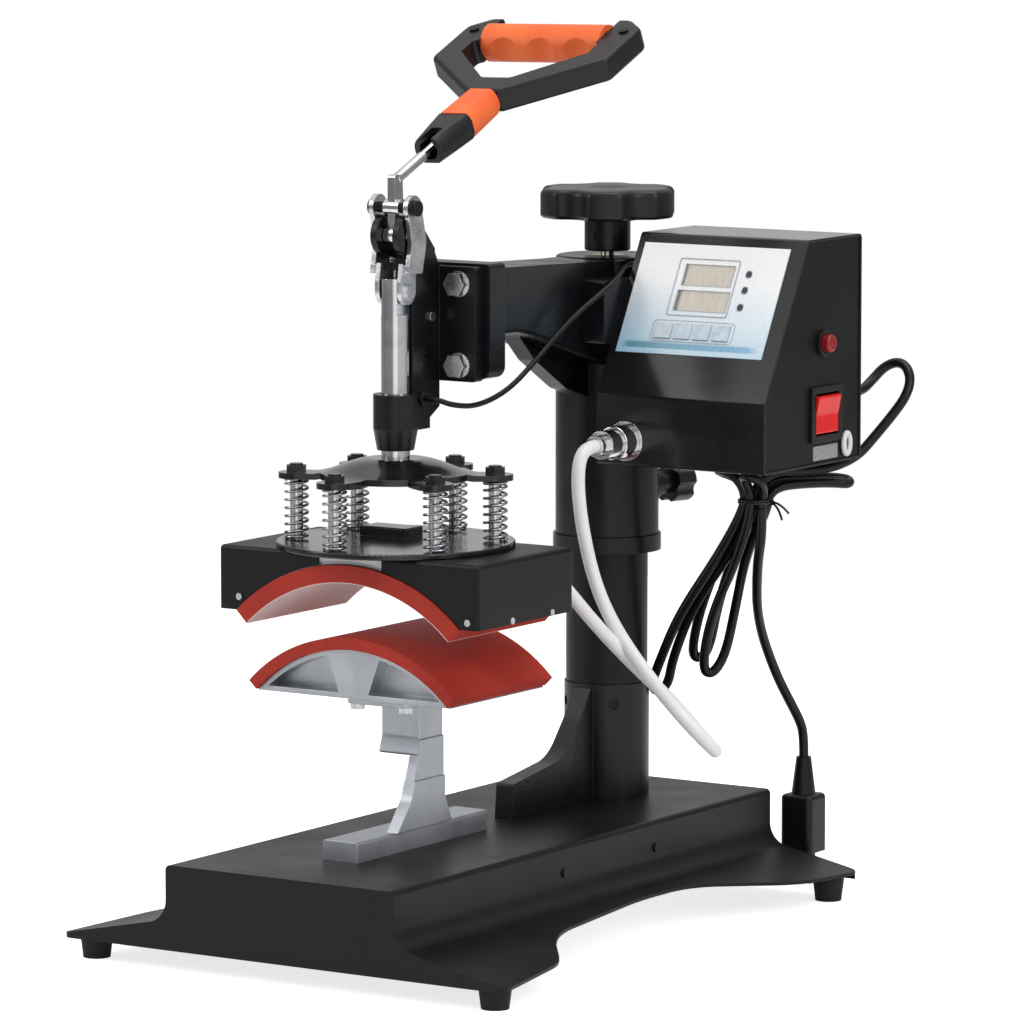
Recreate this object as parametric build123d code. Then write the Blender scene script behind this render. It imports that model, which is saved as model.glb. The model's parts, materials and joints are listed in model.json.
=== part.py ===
from build123d import *
from math import asin, atan2, cos, degrees, hypot, pi, radians, sin, sqrt, tan
import os

# Cap heat press, in millimetres. Z is up, +X is the user's right and -Y faces the user.
# The origin is on the floor, under the centre of the base box.

# ---- base ----
base_length = 415.0
base_width = 158.0
base_height = 62.0
base_sheet = 2.0
base_bend = 3.0
lip_bottom = 12.0
wing_reach = 154.5
wing_tip_height = 14.6
wing_root_height = 30.0
wing_bend = 14.0
waist_reach = 101.0
rear_wing_reach = 143.0
foot_top_radius = 10.5
foot_bottom_radius = 8.0
front_foot = (wing_reach - 16.0, base_length / 2 - 13.5)
rear_foot = (rear_wing_reach - 14.0, base_length / 2 - 14.5)
stiffener_gauge = 3.0
stiffener_drop = 24.0
stiffener_front = -150.0
stiffener_rear = 188.0
side_screw_height = 45.5
side_screw_places = (-28.6, 72.8)

# ---- column ----
column_y = 143.5
socket_radius = 26.0
socket_bore = 20.0
socket_floor = 22.0
socket_top = 132.0
column_radius = 25.0
column_bore = 16.0
column_top = 370.0
end_plug_flange = 6.0
gusset_half = 6.0
gusset_front = 27.0
column_bolt_circle = 13.0

# ---- running fits ----
running_gap = 0.05
slip_gap = 0.2
seat_gap = 0.3

# ---- swing sleeve and arm ----
collar_radius = 33.0
collar_bottom = 213.0
collar_height = 10.0
sleeve_radius = 31.5
sleeve_bore = 28.0
sleeve_top = 393.0
sleeve_cap = 9.0
liner_length = 30.0
upper_liner_bottom = 330.0
arm_half_width = 20.0
arm_top = 397.0
arm_bottom = 356.5
arm_front = -42.0
arm_plate_depth = 16.0
arm_plate_half = 36.0
arm_plate_bottom = 334.0
arm_plate_top = 401.5
arm_rib_half = 6.0

# ---- pressure screw ----
rod_radius = 4.25
bush_radius = 10.0
bush_flange_radius = 17.0
bush_flange = 3.5
hub_radius = 14.0
hub_bottom = 395.7
hub_top = 414.0
knob_radius = 42.4
knob_bottom = 416.0
knob_rim_top = 434.0
knob_lobes = 6
knob_scallop = 9.0

# ---- press axis, toggle and plunger ----
press_y = -87.0
press_stroke = 31.9
crank = press_stroke / 2
pivot_z = 420.0
link_length = 48.5
plunger_radius = 8.3
plunger_top = 395.0
tang_half = 5.5
tang_length = 21.0
pin_radius = 3.0
link_gauge = 3.0
link_inner = 6.2
link_outer = 10.5
link_width = 15.0
ear_inner = 5.6
ear_outer = 9.6
ear_radius = 11.5
web_half = 6.0
web_front = -78.0
web_rear = -50.0
flange_half = 31.0
flange_bottom = 333.0
flange_top = 400.0
guide_radius = 13.0
guide_bottom = 295.6
guide_top = 328.0
bolt_x = 20.0
bolt_heights = (342.4, 390.0)

# ---- heat head ----
hood_half_width = 90.0
hood_depth = 101.0
hood_bottom = 202.0
hood_top = 239.5
hood_gauge = 1.5
hood_screw_radius = 2.0
disc_radius = 69.5
disc_gauge = 3.5
spring_circle = 58.0
spring_count = 6
spring_turn = 27.0
spring_outer = 7.5
spring_wire = 1.8
spring_length = 35.5
post_radius = 3.8
spider_gauge = 3.5
spider_reach = 69.0
spider_arm_half = 10.5
spider_body = 44.0
spider_crown = 291.0

# ---- platens ----
platen_y = -82.0
pad_radius = 100.0
lower_pad_gauge = 7.0
lower_pad_half = 71.5
lower_pad_depth = 104.0
lower_pad_crown = 190.8
casting_depth = 98.0
casting_bottom = 155.0
upper_pad_gauge = 10.5
upper_pad_half = 70.0
upper_pad_depth = 102.4
heater_gauge = 2.0

# ---- control box ----
box_left = 37.0
box_right = 153.0
box_front = 73.0
box_rear = 187.0
box_bottom = 274.0
box_knee = 316.0
box_top = 409.5
box_slope_top_y = 123.5
box_gauge = 1.5
panel_inset = 0.7

# ---- handle ----
rod_start_back = 1.0
rod_start_up = 32.0
stem_rise = 23.6
rod_exposed = 37.0
grip_rod_radius = 3.1
handle_twist = -1.0
grip_distance = 179.0
grip_radius = 11.5
grip_half = 42.0
frame_gauge = 15.0

# ---- base, details ----
half_width = base_width / 2
half_length = base_length / 2
wing_slope = (wing_root_height - wing_tip_height) / (wing_reach - half_width)

# ---- platens, details ----
stand_front = -145.0
stand_rear = -9.0
stand_bar = 12.0
stand_bar_half = 12.0
plate_half = 14.0
plate_y = -81.0
lower_centre = lower_pad_crown - pad_radius
upper_centre = lower_centre + press_stroke
casting_radius = pad_radius - lower_pad_gauge

# ---- pressure screw and lift bush, details ----
bush_flange_top = sleeve_top - sleeve_cap

# ---- arm and sleeve, details ----
collar_inner = 30.0
lock_z = 249.5
lock_turn = 15.0
lock_stud_radius = 4.0
lock_reach = 50.0
lock_head_radius = 12.5

# ---- toggle, details ----
stop_screw_y = -59.0
stop_screw_z = 371.0
sensor_y = -68.0
sensor_z = 324.0

# ---- handle, details ----
stem_angle = radians(stem_rise)
pivot_y = press_y
stem_start = (pivot_y + rod_start_back, pivot_z + rod_start_up)
sleeve_length = 32.0
neck_length = 32.0
frame_corner = 62.0

# ---- heat head, details ----
hood_front = press_y - hood_depth / 2
hood_rear = press_y + hood_depth / 2
arch_gap = 0.5
heater_outer = pad_radius + seat_gap + upper_pad_gauge + heater_gauge
pad_back = pad_radius + seat_gap + upper_pad_gauge
spring_bottom = hood_top + disc_gauge
spring_top = spring_bottom + spring_length

# ---- control box, details ----
slope_angle = atan2(box_top - box_knee, box_slope_top_y - box_front)
overlay = (42.0, 143.0, 28.0, 99.5)
overlay_gauge = 0.8
windows = ((75.0, 109.0, 73.0, 86.5), (74.0, 110.0, 56.5, 69.5))
lamps = (81.9, 71.5, 60.4)
lamp_x = 119.5
key_x = (71.6, 84.9, 98.2, 111.5)
key_along = 43.0
key_width = 11.0
key_height = 10.0
key_travel = 0.6
connector_x = 58.0
connector_z = 289.0
connector_radius = 9.0
gland_x = 138.0
gland_z = 311.0
gland_thread = 6.5
sensor_cord_radius = 1.6
button_y = 142.0
button_z = 347.0
rocker_box = (127.0, 163.0, 288.0, 321.0)
rocker_half = 11.3
rocker_tilt = 6.0
rocker_pin = 1.4
connector_reach = 36.0
cable_radius = 4.0
hood_cable_x = 60.0
hood_cable_z = 226.0
bracket_front = 81.0
bracket_rear = 118.0
bracket_bottom = 345.0
bracket_top = 383.0

# ---- cords, details ----
gland_reach = 16.0
mains_radius = 3.0
sensor_entry = (box_left, 130.0, 388.0)
heater_route = [(58, 37, 289), (58, 27, 289), (57.5, 20, 281), (58, 19, 262), (62, 19, 238), (69, 19, 213),
                (78, 20, 193), (91, 21, 174), (106, 23, 156), (120, 26, 140), (133, 31, 125), (140, 40, 114),
                (135, 49, 112), (123, 47, 124), (111, 42, 139), (99, 34, 153), (89, 24, 167), (82, 12, 181),
                (76, 0, 195), (70, -9, 208), (63, -17, 220), (60, -28, 226), (60, -42, 226)]
mains_route = [(138, 203, 311), (138, 214, 311), (140, 223, 317), (145, 229, 325), (153, 231, 328.5),
               (161, 229, 326), (166, 225, 318), (165, 220, 308), (159, 214, 297), (152, 206, 285),
               (145, 197, 273), (136, 180, 267), (126, 162, 266.5), (116, 148, 268), (111, 139, 266), (111, 139, 256)]
sensor_route = [(8, -68, 324), (16, -68, 324), (22, -60, 320), (26, -40, 318), (29, -12, 325), (30, 14, 339),
                (30, 40, 354), (32.5, 60, 366), (37, 74, 374.5), (39.3, 86, 381), (38, 98, 386.5),
                (33.5, 110, 390), (33, 122, 390.5), (37, 130, 388)]
lead_route = [(113, 138, 244), (112, 139, 229), (106, 146, 214), (98, 158, 197), (90.5, 171, 180),
              (85, 185, 164), (82.5, 198, 148), (82.5, 210, 131), (84, 222, 115), (86, 231, 102), (86, 236, 92),
              (86, 236, 79)]
neck_place = (109.0, 138.0)
neck_low = 244.0
neck_high = 256.0
neck_half = (9.0, 6.0)
hank_direction = (-0.48, 0.22, -0.85)
plug_x = 86.0
plug_y = 236.0


# ---------------------------------------------------------------- helpers

def block(x0, x1, y0, y1, z0, z1):
    return Pos((x0 + x1) / 2, (y0 + y1) / 2, (z0 + z1) / 2) * Box(x1 - x0, y1 - y0, z1 - z0)


def bar_x(radius, x0, x1, y, z):
    return Pos((x0 + x1) / 2, y, z) * Rot(0, 90, 0) * Cylinder(radius, x1 - x0)


def bar_y(radius, y0, y1, x, z):
    return Pos(x, (y0 + y1) / 2, z) * Rot(90, 0, 0) * Cylinder(radius, y1 - y0)


def bar_z(radius, z0, z1, x=0.0, y=0.0):
    return Pos(x, y, (z0 + z1) / 2) * Cylinder(radius, z1 - z0)


def ring_z(outer, inner, z0, z1, x=0.0, y=0.0):
    return bar_z(outer, z0, z1, x, y) - bar_z(inner, z0 - 1, z1 + 1, x, y)


def hexagon_x(across, x0, x1, y, z):
    face = Plane(origin=(x0, y, z), x_dir=(0, 1, 0), z_dir=(1, 0, 0)) * RegularPolygon(across / sqrt(3), 6)
    return extrude(face, x1 - x0)


def hexagon_y(across, y0, y1, x, z):
    face = Plane(origin=(x, y1, z), x_dir=(1, 0, 0), z_dir=(0, -1, 0)) * RegularPolygon(across / sqrt(3), 6)
    return extrude(face, y1 - y0)


def hexagon_z(across, z0, z1, x, y):
    face = Pos(x, y, z0) * RegularPolygon(across / sqrt(3), 6)
    return extrude(face, z1 - z0)


def outline_face(points, radii):
    """A closed outline whose corners are rounded by the given radii (0 leaves a corner sharp)."""
    face = make_face(Polyline(*points, close=True))
    for point, radius in zip(points, radii):
        if radius > 0:
            corner = min(face.vertices(), key=lambda v: hypot(v.X - point[0], v.Y - point[1]))
            face = fillet(corner, radius)
    return face


def prism_x(points, radii, x0, x1):
    """Extrude a YZ outline along X."""
    plane = Plane(origin=(x0, 0, 0), x_dir=(0, 1, 0), z_dir=(1, 0, 0))
    return extrude(plane * outline_face(points, radii), x1 - x0)


def prism_y(points, radii, y0, y1):
    """Extrude an XZ outline along Y."""
    plane = Plane(origin=(0, y1, 0), x_dir=(1, 0, 0), z_dir=(0, -1, 0))
    return extrude(plane * outline_face(points, radii), y1 - y0)


def prism_z(points, radii, z0, z1):
    """Extrude an XY outline along Z."""
    return extrude(Pos(0, 0, z0) * outline_face(points, radii), z1 - z0)


def group(*shapes):
    return Compound(children=[solid for shape in shapes for solid in shape.solids()])


def tube(points, diameter):
    """A cord of straight runs joined by tangent arcs, as large as the runs allow."""
    vectors = [Vector(*point) for point in points]
    radii = []
    for before, here, after in zip(vectors, vectors[1:], vectors[2:]):
        turn = radians((here - before).get_angle(after - here))
        run = min((here - before).length, (after - here).length)
        radii.append(0.45 * run / tan(turn / 2))
    path = FilletPolyline(*points, radius=radii)
    start = Plane(origin=points[0], z_dir=path.tangent_at(0))
    solid = sweep(start * Circle(diameter / 2), path=path)
    share = solid.volume / (pi * diameter ** 2 / 4 * path.length)
    print("cord: length %.0f, smallest radius %.1f, volume share %.4f" % (path.length, min(radii), share))
    print("  radii", [round(r, 1) for r in radii])
    return solid


def ellipse_loft(stations):
    """A closed body through elliptical sections, each (centre, direction, half width, half depth)."""
    faces = [Plane(origin=centre, x_dir=(0.839, 0.545, 0), z_dir=direction) * Ellipse(width, depth)
             for centre, direction, width, depth in stations]
    return loft([face.face() for face in faces])


# ---------------------------------------------------------------- base


def base_profile(depth):
    """The folded sheet's surface, moved inwards by depth, as points from the left tip to the right tip."""
    x_tip = wing_reach
    x_wall = half_width - depth
    return [(-x_tip, wing_tip_height - depth), (-x_wall, wing_root_height - depth + wing_slope * depth),
            (-x_wall, base_height - depth), (x_wall, base_height - depth),
            (x_wall, wing_root_height - depth + wing_slope * depth), (x_tip, wing_tip_height - depth)]


def base_outline():
    """Plan outline of the wings: wide at the front, waisted in the middle, wider again at the rear."""
    right = [(wing_reach, -half_length), (143.0, -133.0), (112.0, -92.0), (waist_reach, 20.0),
             (waist_reach + 1, 75.0), (136.0, 150.0), (rear_wing_reach, half_length)]
    radii = [6, 40, 85, 300, 110, 140, 6]
    left = [(-x, y) for x, y in reversed(right)]
    return right + left, radii + radii[::-1]


def wing_solid_below(depth, floor):
    """Everything under the sheet's surface, moved inwards by depth, down to a floor."""
    points = base_profile(depth)
    radii = [0, wing_bend + depth, base_bend - depth, base_bend - depth, wing_bend + depth, 0]
    closed = points + [(wing_reach, floor), (-wing_reach, floor)]
    return prism_y(closed, radii + [0, 0], -half_length, half_length)


def base_cover():
    outline, radii = base_outline()
    plan = prism_z(outline, radii, 0, base_height + 1)
    sheet = wing_solid_below(0, 8) - wing_solid_below(base_sheet, 7)
    lips = wing_solid_below(0, lip_bottom)
    lips -= block(-200, 200, -half_length + base_sheet, half_length - base_sheet, 0, 100)
    cover = (sheet + lips) & plan
    cover -= block(-200, 200, -300, 300, -10, lip_bottom)
    for y in side_screw_places:
        cover -= bar_x(1.7, -90, 90, y, side_screw_height)
    for x, y in stand_bolt_places():
        cover -= bar_z(3.2, base_height - 10, base_height + 1, x, y)
    for x, y in column_bolt_places():
        cover -= bar_z(4.2, base_height - 10, base_height + 1, x, y)
    return cover


def base_stiffener():
    """Channel under the top sheet that carries the column and the platen stand."""
    x = half_width - base_sheet
    top = base_height - base_sheet
    bottom = top - stiffener_drop
    inner = x - stiffener_gauge
    web = top - stiffener_gauge
    channel = prism_y([(-x, bottom), (-x, top), (x, top), (x, bottom), (inner, bottom), (inner, web),
                       (-inner, web), (-inner, bottom)], [0, 4, 4, 0, 0, 1, 1, 0],
                      stiffener_front, stiffener_rear)
    for y in side_screw_places:
        channel -= bar_x(1.7, -90, 90, y, side_screw_height)
    for x, y in stand_bolt_places():
        channel -= bar_z(3.2, 30, 70, x, y)
    for x, y in column_bolt_places():
        channel -= bar_z(4.2, 30, 70, x, y)
    return channel


def rubber_feet():
    feet = []
    for x, y in ((front_foot[0], -front_foot[1]), (rear_foot[0], rear_foot[1])):
        cone = Pos(x, y, 12) * Cone(foot_bottom_radius, foot_top_radius + 0.6, 24)
        for side in (1, -1):
            foot = cone if side == 1 else mirror(cone, about=Plane.YZ)
            feet.append(foot & wing_solid_below(base_sheet, 0))
    return group(*feet)


def column_bolt_places():
    return [(column_bolt_circle * cos(radians(a)), column_y + column_bolt_circle * sin(radians(a)))
            for a in (90, 210, 330)]


def stand_bolt_places():
    return [(0.0, stand_front + 12), (0.0, stand_rear - 12)]


def base_screws():
    solids = []
    wall = half_width
    for y in side_screw_places:
        screw = bar_x(2.6, wall, wall + 1.2, y, side_screw_height)
        screw += bar_x(1.5, wall - 9, wall, y, side_screw_height)
        nut = hexagon_x(5.5, wall - base_sheet - stiffener_gauge - 2.4, wall - base_sheet - stiffener_gauge,
                        y, side_screw_height)
        nut -= bar_x(1.5, wall - 12, wall, y, side_screw_height)
        for piece in (screw, nut):
            solids += [piece, mirror(piece, about=Plane.YZ)]
    under = base_height - base_sheet - stiffener_gauge
    for x, y in column_bolt_places():
        bolt = hexagon_z(13, under - 7, under - 1.6, x, y) + bar_z(8, under - 1.6, under, x, y)
        solids.append(bolt + bar_z(4, under, base_height + socket_floor - 6, x, y))
    for x, y in stand_bolt_places():
        bolt = hexagon_z(10, under - 5.5, under - 1.4, x, y) + bar_z(6, under - 1.4, under, x, y)
        solids.append(bolt + bar_z(3, under, base_height + stand_bar - 3, x, y))
    for side in (-1, 1):
        solids.append(socket_screw(side))
    return group(*solids)


def socket_screw(side):
    """Grub screw that clamps the tube in the socket, flush in the socket wall."""
    turn = Pos(0, column_y, 120) * Rot(0, 0, -90 + side * 42)
    return turn * Pos((socket_bore + socket_radius) / 2 - 0.5, 0, 0) * Rot(0, 90, 0) * Cylinder(
        3, socket_radius - socket_bore - 1)


def column_socket():
    body = bar_z(socket_radius, base_height, socket_top, 0, column_y)
    foot_points = [(gusset_front, base_height), (gusset_front + 2, 83), (85, 91), (103, 112), (116, socket_top - 2),
                   (column_y, socket_top - 2), (column_y, base_height)]
    body += prism_x(foot_points, [0, 2, 30, 30, 0, 0, 0], -gusset_half, gusset_half)
    body -= bar_z(socket_bore, base_height + socket_floor, socket_top + 1, 0, column_y)
    for x, y in column_bolt_places():
        body -= bar_z(4, base_height - 1, base_height + socket_floor - 5, x, y)
    for side in (-1, 1):
        turn = Pos(0, column_y, 120) * Rot(0, 0, -90 + side * 42)
        body -= turn * Pos(socket_bore + 4, 0, 0) * Rot(0, 90, 0) * Cylinder(3, 12)
    return body


def column_tube():
    tube_body = bar_z(column_radius, socket_top, column_top, 0, column_y)
    tube_body += bar_z(socket_bore, base_height + socket_floor, socket_top, 0, column_y)
    tube_body -= bar_z(column_bore, base_height, column_top + 1, 0, column_y)
    plug = bar_z(column_radius, column_top, column_top + end_plug_flange, 0, column_y)
    plug += bar_z(column_bore, column_top - 14, column_top, 0, column_y)
    return group(tube_body, plug)


# ---------------------------------------------------------------- platens


def platen_stand():
    top = base_height + stand_bar
    body = block(-stand_bar_half, stand_bar_half, stand_front, stand_rear, base_height, top)
    body = fillet(body.edges().filter_by(Axis.Y).group_by(Axis.Z)[-1], 1.5)
    web = [(plate_y, casting_bottom - 4), (plate_y, 126), (plate_y - 4, 112), (plate_y - 11, 92),
           (plate_y - 26, top), (-50, top), (-56, 84), (-57, 100), (-57, casting_bottom - 4)]
    body += prism_x(web, [0, 12, 0, 14, 0, 0, 8, 0, 0], 7.5, 12.3)
    lower = [(plate_y - 4, 112), (plate_y, 125.5), (-57, 125.5), (-57, 90), (-50, top), (plate_y - 26, top),
             (plate_y - 11, 92)]
    body += prism_x(lower, [0, 0, 0, 0, 0, 0, 14], 7.0, 13.2)
    foot = [(plate_y - 7.5, 102), (-57, 102), (-57, 90), (-50, top), (plate_y - 26, top), (plate_y - 11, 92)]
    body += prism_x(foot, [0, 0, 0, 0, 0, 14], 6.5, 14.2)
    front = [(plate_y, casting_bottom - 4), (plate_y, 126), (plate_y - 3.5, 117), (plate_y - 0.5, 116),
             (plate_y + 4, 126), (plate_y + 4, casting_bottom - 4)]
    body += prism_x(front, [0, 8, 1, 0, 8, 0], -plate_half, plate_half - 1.7)
    flange = block(-22, 22, -108, -54, casting_bottom - 7, casting_bottom)
    body += fillet(flange.edges().filter_by(Axis.Z), 5)
    for x, y in stand_bolt_places():
        body -= bar_z(3, base_height - 1, top - 2.5, x, y)
    for x, y in platen_screw_places():
        body -= bar_z(2.6, casting_bottom - 8, casting_bottom + 1, x, y)
    return body


def platen_screw_places():
    return [(x, y) for x in (-17, 17) for y in (-102, -60)]


def platen_screws():
    solids = []
    for x, y in platen_screw_places():
        head = bar_z(4.2, casting_bottom - 7 - 3.5, casting_bottom - 7, x, y)
        solids.append(head + bar_z(2.5, casting_bottom - 7, casting_bottom + 9, x, y))
    return group(*solids)


def arch(outer, inner, half, centre_z, depth, centre_y):
    """A curved slab: the part of a ring, between radial ends, that lies within a half width of the middle."""
    angle = asin(half / outer)
    ring = bar_y(outer, centre_y - depth / 2, centre_y + depth / 2, 0, centre_z)
    ring -= bar_y(inner, centre_y - depth, centre_y + depth, 0, centre_z)
    reach = 2 * outer
    wedge = prism_y([(0, centre_z), (reach * sin(angle), centre_z + reach * cos(angle)),
                     (-reach * sin(angle), centre_z + reach * cos(angle))], [0, 0, 0],
                    centre_y - depth, centre_y + depth)
    return ring & wedge


def lower_pad():
    return arch(pad_radius, casting_radius, lower_pad_half, lower_centre, lower_pad_depth, platen_y)


def lower_platen():
    """Aluminium casting: a solid core with pockets cut in from both ends, beside a tapered middle rib."""
    y0 = platen_y - casting_depth / 2
    y1 = platen_y + casting_depth / 2
    body = bar_y(casting_radius, y0, y1, 0, lower_centre)
    body &= block(-casting_radius, casting_radius, y0, y1, casting_bottom, lower_pad_crown)
    rim = 3.0
    pocket_depth = 12.0
    void = bar_y(casting_radius - rim, y0 - 1, y1 + 1, 0, lower_centre)
    void &= block(-casting_radius, casting_radius, y0 - 1, y1 + 1, casting_bottom + rim, lower_pad_crown)
    void -= prism_y([(-9, casting_bottom), (9, casting_bottom), (22, lower_pad_crown), (-22, lower_pad_crown)],
                    [0, 0, 0, 0], y0 - 2, y1 + 2)
    void -= block(-100, 100, y0 + pocket_depth, y1 - pocket_depth, 0, 300)
    body -= void
    for x, y in platen_screw_places():
        body -= bar_z(2.5, casting_bottom - 1, casting_bottom + 10, x, y)
    return body


# ---------------------------------------------------------------- pressure screw and lift bush


def lift_bush():
    body = bar_z(bush_flange_radius, bush_flange_top - bush_flange, bush_flange_top, 0, column_y)
    body += bar_z(bush_radius, bush_flange_top, sleeve_top, 0, column_y)
    return body - bar_z(rod_radius + running_gap, 300, 500, 0, column_y)


def pressure_rod():
    rod = bar_z(rod_radius, column_top + end_plug_flange, knob_bottom + 9, 0, column_y)
    return rod


def knob_hub():
    hub = bar_z(hub_radius, hub_bottom, hub_top, 0, column_y) + bar_z(hub_radius + 3, hub_top, knob_bottom, 0, column_y)
    hub = fillet(hub.edges().group_by(Axis.Z)[0], 1)
    hub -= bar_z(rod_radius, 380, 430, 0, column_y)
    turn = Pos(0, column_y, 405) * Rot(0, 0, -85)
    hole = turn * Pos(rod_radius + 6, 0, 0) * Rot(0, 90, 0) * Cylinder(2.5, 12)
    hub -= hole
    screw = turn * Pos(rod_radius + (hub_radius - rod_radius) / 2 - 0.4, 0, 0) * Rot(0, 90, 0) * Cylinder(
        2.5, hub_radius - rod_radius - 1.2)
    return group(hub, screw)


def pressure_knob():
    body = bar_z(knob_radius, knob_bottom, knob_rim_top, 0, column_y)
    for i in range(knob_lobes):
        a = radians(60 * i + 30)
        reach = knob_radius + knob_scallop
        body -= bar_z(knob_scallop + 6, 400, 450, reach * cos(a), column_y + reach * sin(a))
    body = fillet(body.edges().filter_by(Axis.Z), 6)
    body = fillet(body.edges().group_by(Axis.Z)[-1], 4)
    body = fillet(body.edges().group_by(Axis.Z)[0], 2.5)
    body -= Pos(0, column_y, knob_rim_top + 58.5) * Sphere(60)
    body -= bar_z(rod_radius, knob_bottom - 1, knob_bottom + 9, 0, column_y)
    return body


# ---------------------------------------------------------------- arm and sleeve

def arm_casting():
    sleeve = bar_z(sleeve_radius, collar_bottom + collar_height, sleeve_top, 0, column_y)
    sleeve += bar_z(collar_inner, collar_bottom, collar_bottom + collar_height, 0, column_y)
    sleeve = fillet(sleeve.edges().group_by(Axis.Z)[-1], 2)
    side = [(arm_front + arm_plate_depth - 1, arm_top), (arm_front + arm_plate_depth - 1, arm_bottom),
            (15, arm_bottom), (38, 351), (83, 336.5), (column_y, 322), (column_y, sleeve_top - 1),
            (100, sleeve_top - 0.5)]
    beam = prism_x(side, [0, 0, 20, 20, 20, 0, 0, 40], -arm_half_width, arm_half_width)
    beam = fillet(beam.edges().filter_by(Axis.Y), 2.5)
    rib = [(35, 352), (53, 336), (88, 316), (column_y, 300), (column_y, 352)]
    beam += prism_x(rib, [0, 10, 20, 0, 0], -arm_rib_half, arm_rib_half)
    plate = block(-arm_plate_half, arm_plate_half, arm_front, arm_front + arm_plate_depth,
                  arm_plate_bottom, arm_plate_top)
    plate = fillet(plate.edges().filter_by(Axis.Y).group_by(Axis.Z)[0], 7)
    plate = fillet(plate.edges().filter_by(Axis.Y).group_by(Axis.Z)[-1], 3)
    body = sleeve + beam + plate
    body -= bar_z(sleeve_bore, collar_bottom - 1, sleeve_top - sleeve_cap, 0, column_y)
    body -= bar_z(bush_radius + running_gap, 300, 500, 0, column_y)
    boss = lock_place(bar_y(9, 24, 40, 0, 0))
    body += boss - bar_z(sleeve_bore + 1, 200, 380, 0, column_y)
    body -= lock_place(bar_y(lock_stud_radius + running_gap, 10, 60, 0, 0))
    for x in (-bolt_x, bolt_x):
        for z in bolt_heights:
            body -= bar_y(4, arm_front - 1, arm_front + arm_plate_depth - 2, x, z)
    for y, z in bracket_bolt_places():
        body -= bar_x(3, arm_half_width - 13, arm_half_width + 1, y, z)
    return body


def lock_place(shape):
    """Place a shape drawn along +Y from the column's axis at the locking stud."""
    return Pos(0, column_y, lock_z) * Rot(0, 0, -lock_turn) * shape


def sleeve_collar():
    return ring_z(collar_radius, collar_inner, collar_bottom, collar_bottom + collar_height, 0, column_y)


def swing_liners():
    solids = []
    for bottom in (collar_bottom, upper_liner_bottom):
        solids.append(ring_z(sleeve_bore, column_radius + running_gap, bottom, bottom + liner_length, 0, column_y))
    lower, upper = solids
    lower -= lock_place(bar_y(lock_stud_radius + 0.4, 0, 60, 0, 0))
    return group(lower, upper)


def lock_knob():
    """Lobed knob on a stud that clamps the sleeve on the column."""
    y0 = column_radius + seat_gap
    y1 = lock_reach
    body = bar_y(lock_stud_radius, y0, y1, 0, 0)
    head = bar_y(lock_head_radius, y1, y1 + 14, 0, 0)
    for i in range(5):
        a = radians(72 * i + 54)
        scallop = lock_head_radius * 1.22
        head -= bar_y(lock_head_radius * 0.4, y1 - 1, y1 + 20, scallop * cos(a), scallop * sin(a))
    head = fillet(head.edges().filter_by(Axis.Y), 1.5)
    hub = bar_y(7.0, y1 - 8, y1, 0, 0)
    return lock_place(body + head + hub)


# ---------------------------------------------------------------- toggle

def toggle_body():
    web = [(web_rear, 318), (web_rear, flange_top), (-55, 409), (-64, 412), (web_front, 412), (web_front, 310),
           (-71, 306)]
    body = prism_x(web, [0, 0, 4, 4, 3, 3, 3], -web_half, web_half)
    plate = block(-flange_half, flange_half, web_rear, arm_front, flange_bottom, flange_top)
    body += fillet(plate.edges().filter_by(Axis.Y), 2)
    barrel = bar_z(guide_radius, 308, guide_top, 0, press_y)
    barrel += Pos(0, press_y, (guide_bottom + 308) / 2) * Cone(10.8, guide_radius, 308 - guide_bottom)
    body += barrel
    body += block(-web_half, web_half, press_y + 6, web_rear - 10, 306, guide_top - 2)
    for side in (-1, 1):
        x0, x1 = sorted((side * ear_inner, side * ear_outer))
        ear = bar_x(ear_radius, x0, x1, press_y, pivot_z)
        ear += prism_x([(press_y, pivot_z + ear_radius), (press_y + 11, pivot_z + 8), (-60, 411), (-60, 405),
                        (web_front + 1, 405), (press_y, pivot_z - ear_radius)], [0] * 6, x0, x1)
        body += ear
    body -= bar_z(plunger_radius + running_gap, 280, 404, 0, press_y)
    body -= bar_x(pin_radius + running_gap, -20, 20, press_y, pivot_z)
    for x in (-bolt_x, bolt_x):
        for z in bolt_heights:
            body -= bar_y(4, web_rear - 1, arm_front + 1, x, z)
    body -= bar_x(1.5, 0, 10, stop_screw_y, stop_screw_z)
    body -= bar_x(2.5, -10, 10, sensor_y, sensor_z)
    return body


def toggle_bolts():
    solids = []
    for x in (-bolt_x, bolt_x):
        for z in bolt_heights:
            bolt = bar_y(4, web_rear, arm_front + arm_plate_depth - 3, x, z)
            bolt += bar_y(7.6, web_rear - 1.6, web_rear, x, z)
            solids.append(bolt + hexagon_y(12.5, web_rear - 7, web_rear - 1.6, x, z))
    screw = bar_x(1.5, 0, web_half, stop_screw_y, stop_screw_z)
    solids.append(screw + bar_x(2.8, web_half, web_half + 1.6, stop_screw_y, stop_screw_z))
    for y, z in bracket_bolt_places():
        bolt = bar_x(3, arm_half_width - 12, box_left + box_gauge, y, z)
        bolt += hexagon_x(10, box_left + box_gauge, box_left + box_gauge + 4, y, z)
        solids.append(bolt)
    return group(*solids)


def handle_pin():
    pin = bar_x(pin_radius, -ear_outer - 0.3, ear_outer + 0.3, press_y, pivot_z)
    return pin


def closing_sensor():
    """Threaded sensor through the web; it tells the timer that the press has closed."""
    body = bar_x(2.5, -web_half - 2, web_half + 2, sensor_y, sensor_z)
    return body + hexagon_x(8, web_half, web_half + 2, sensor_y, sensor_z)


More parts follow.
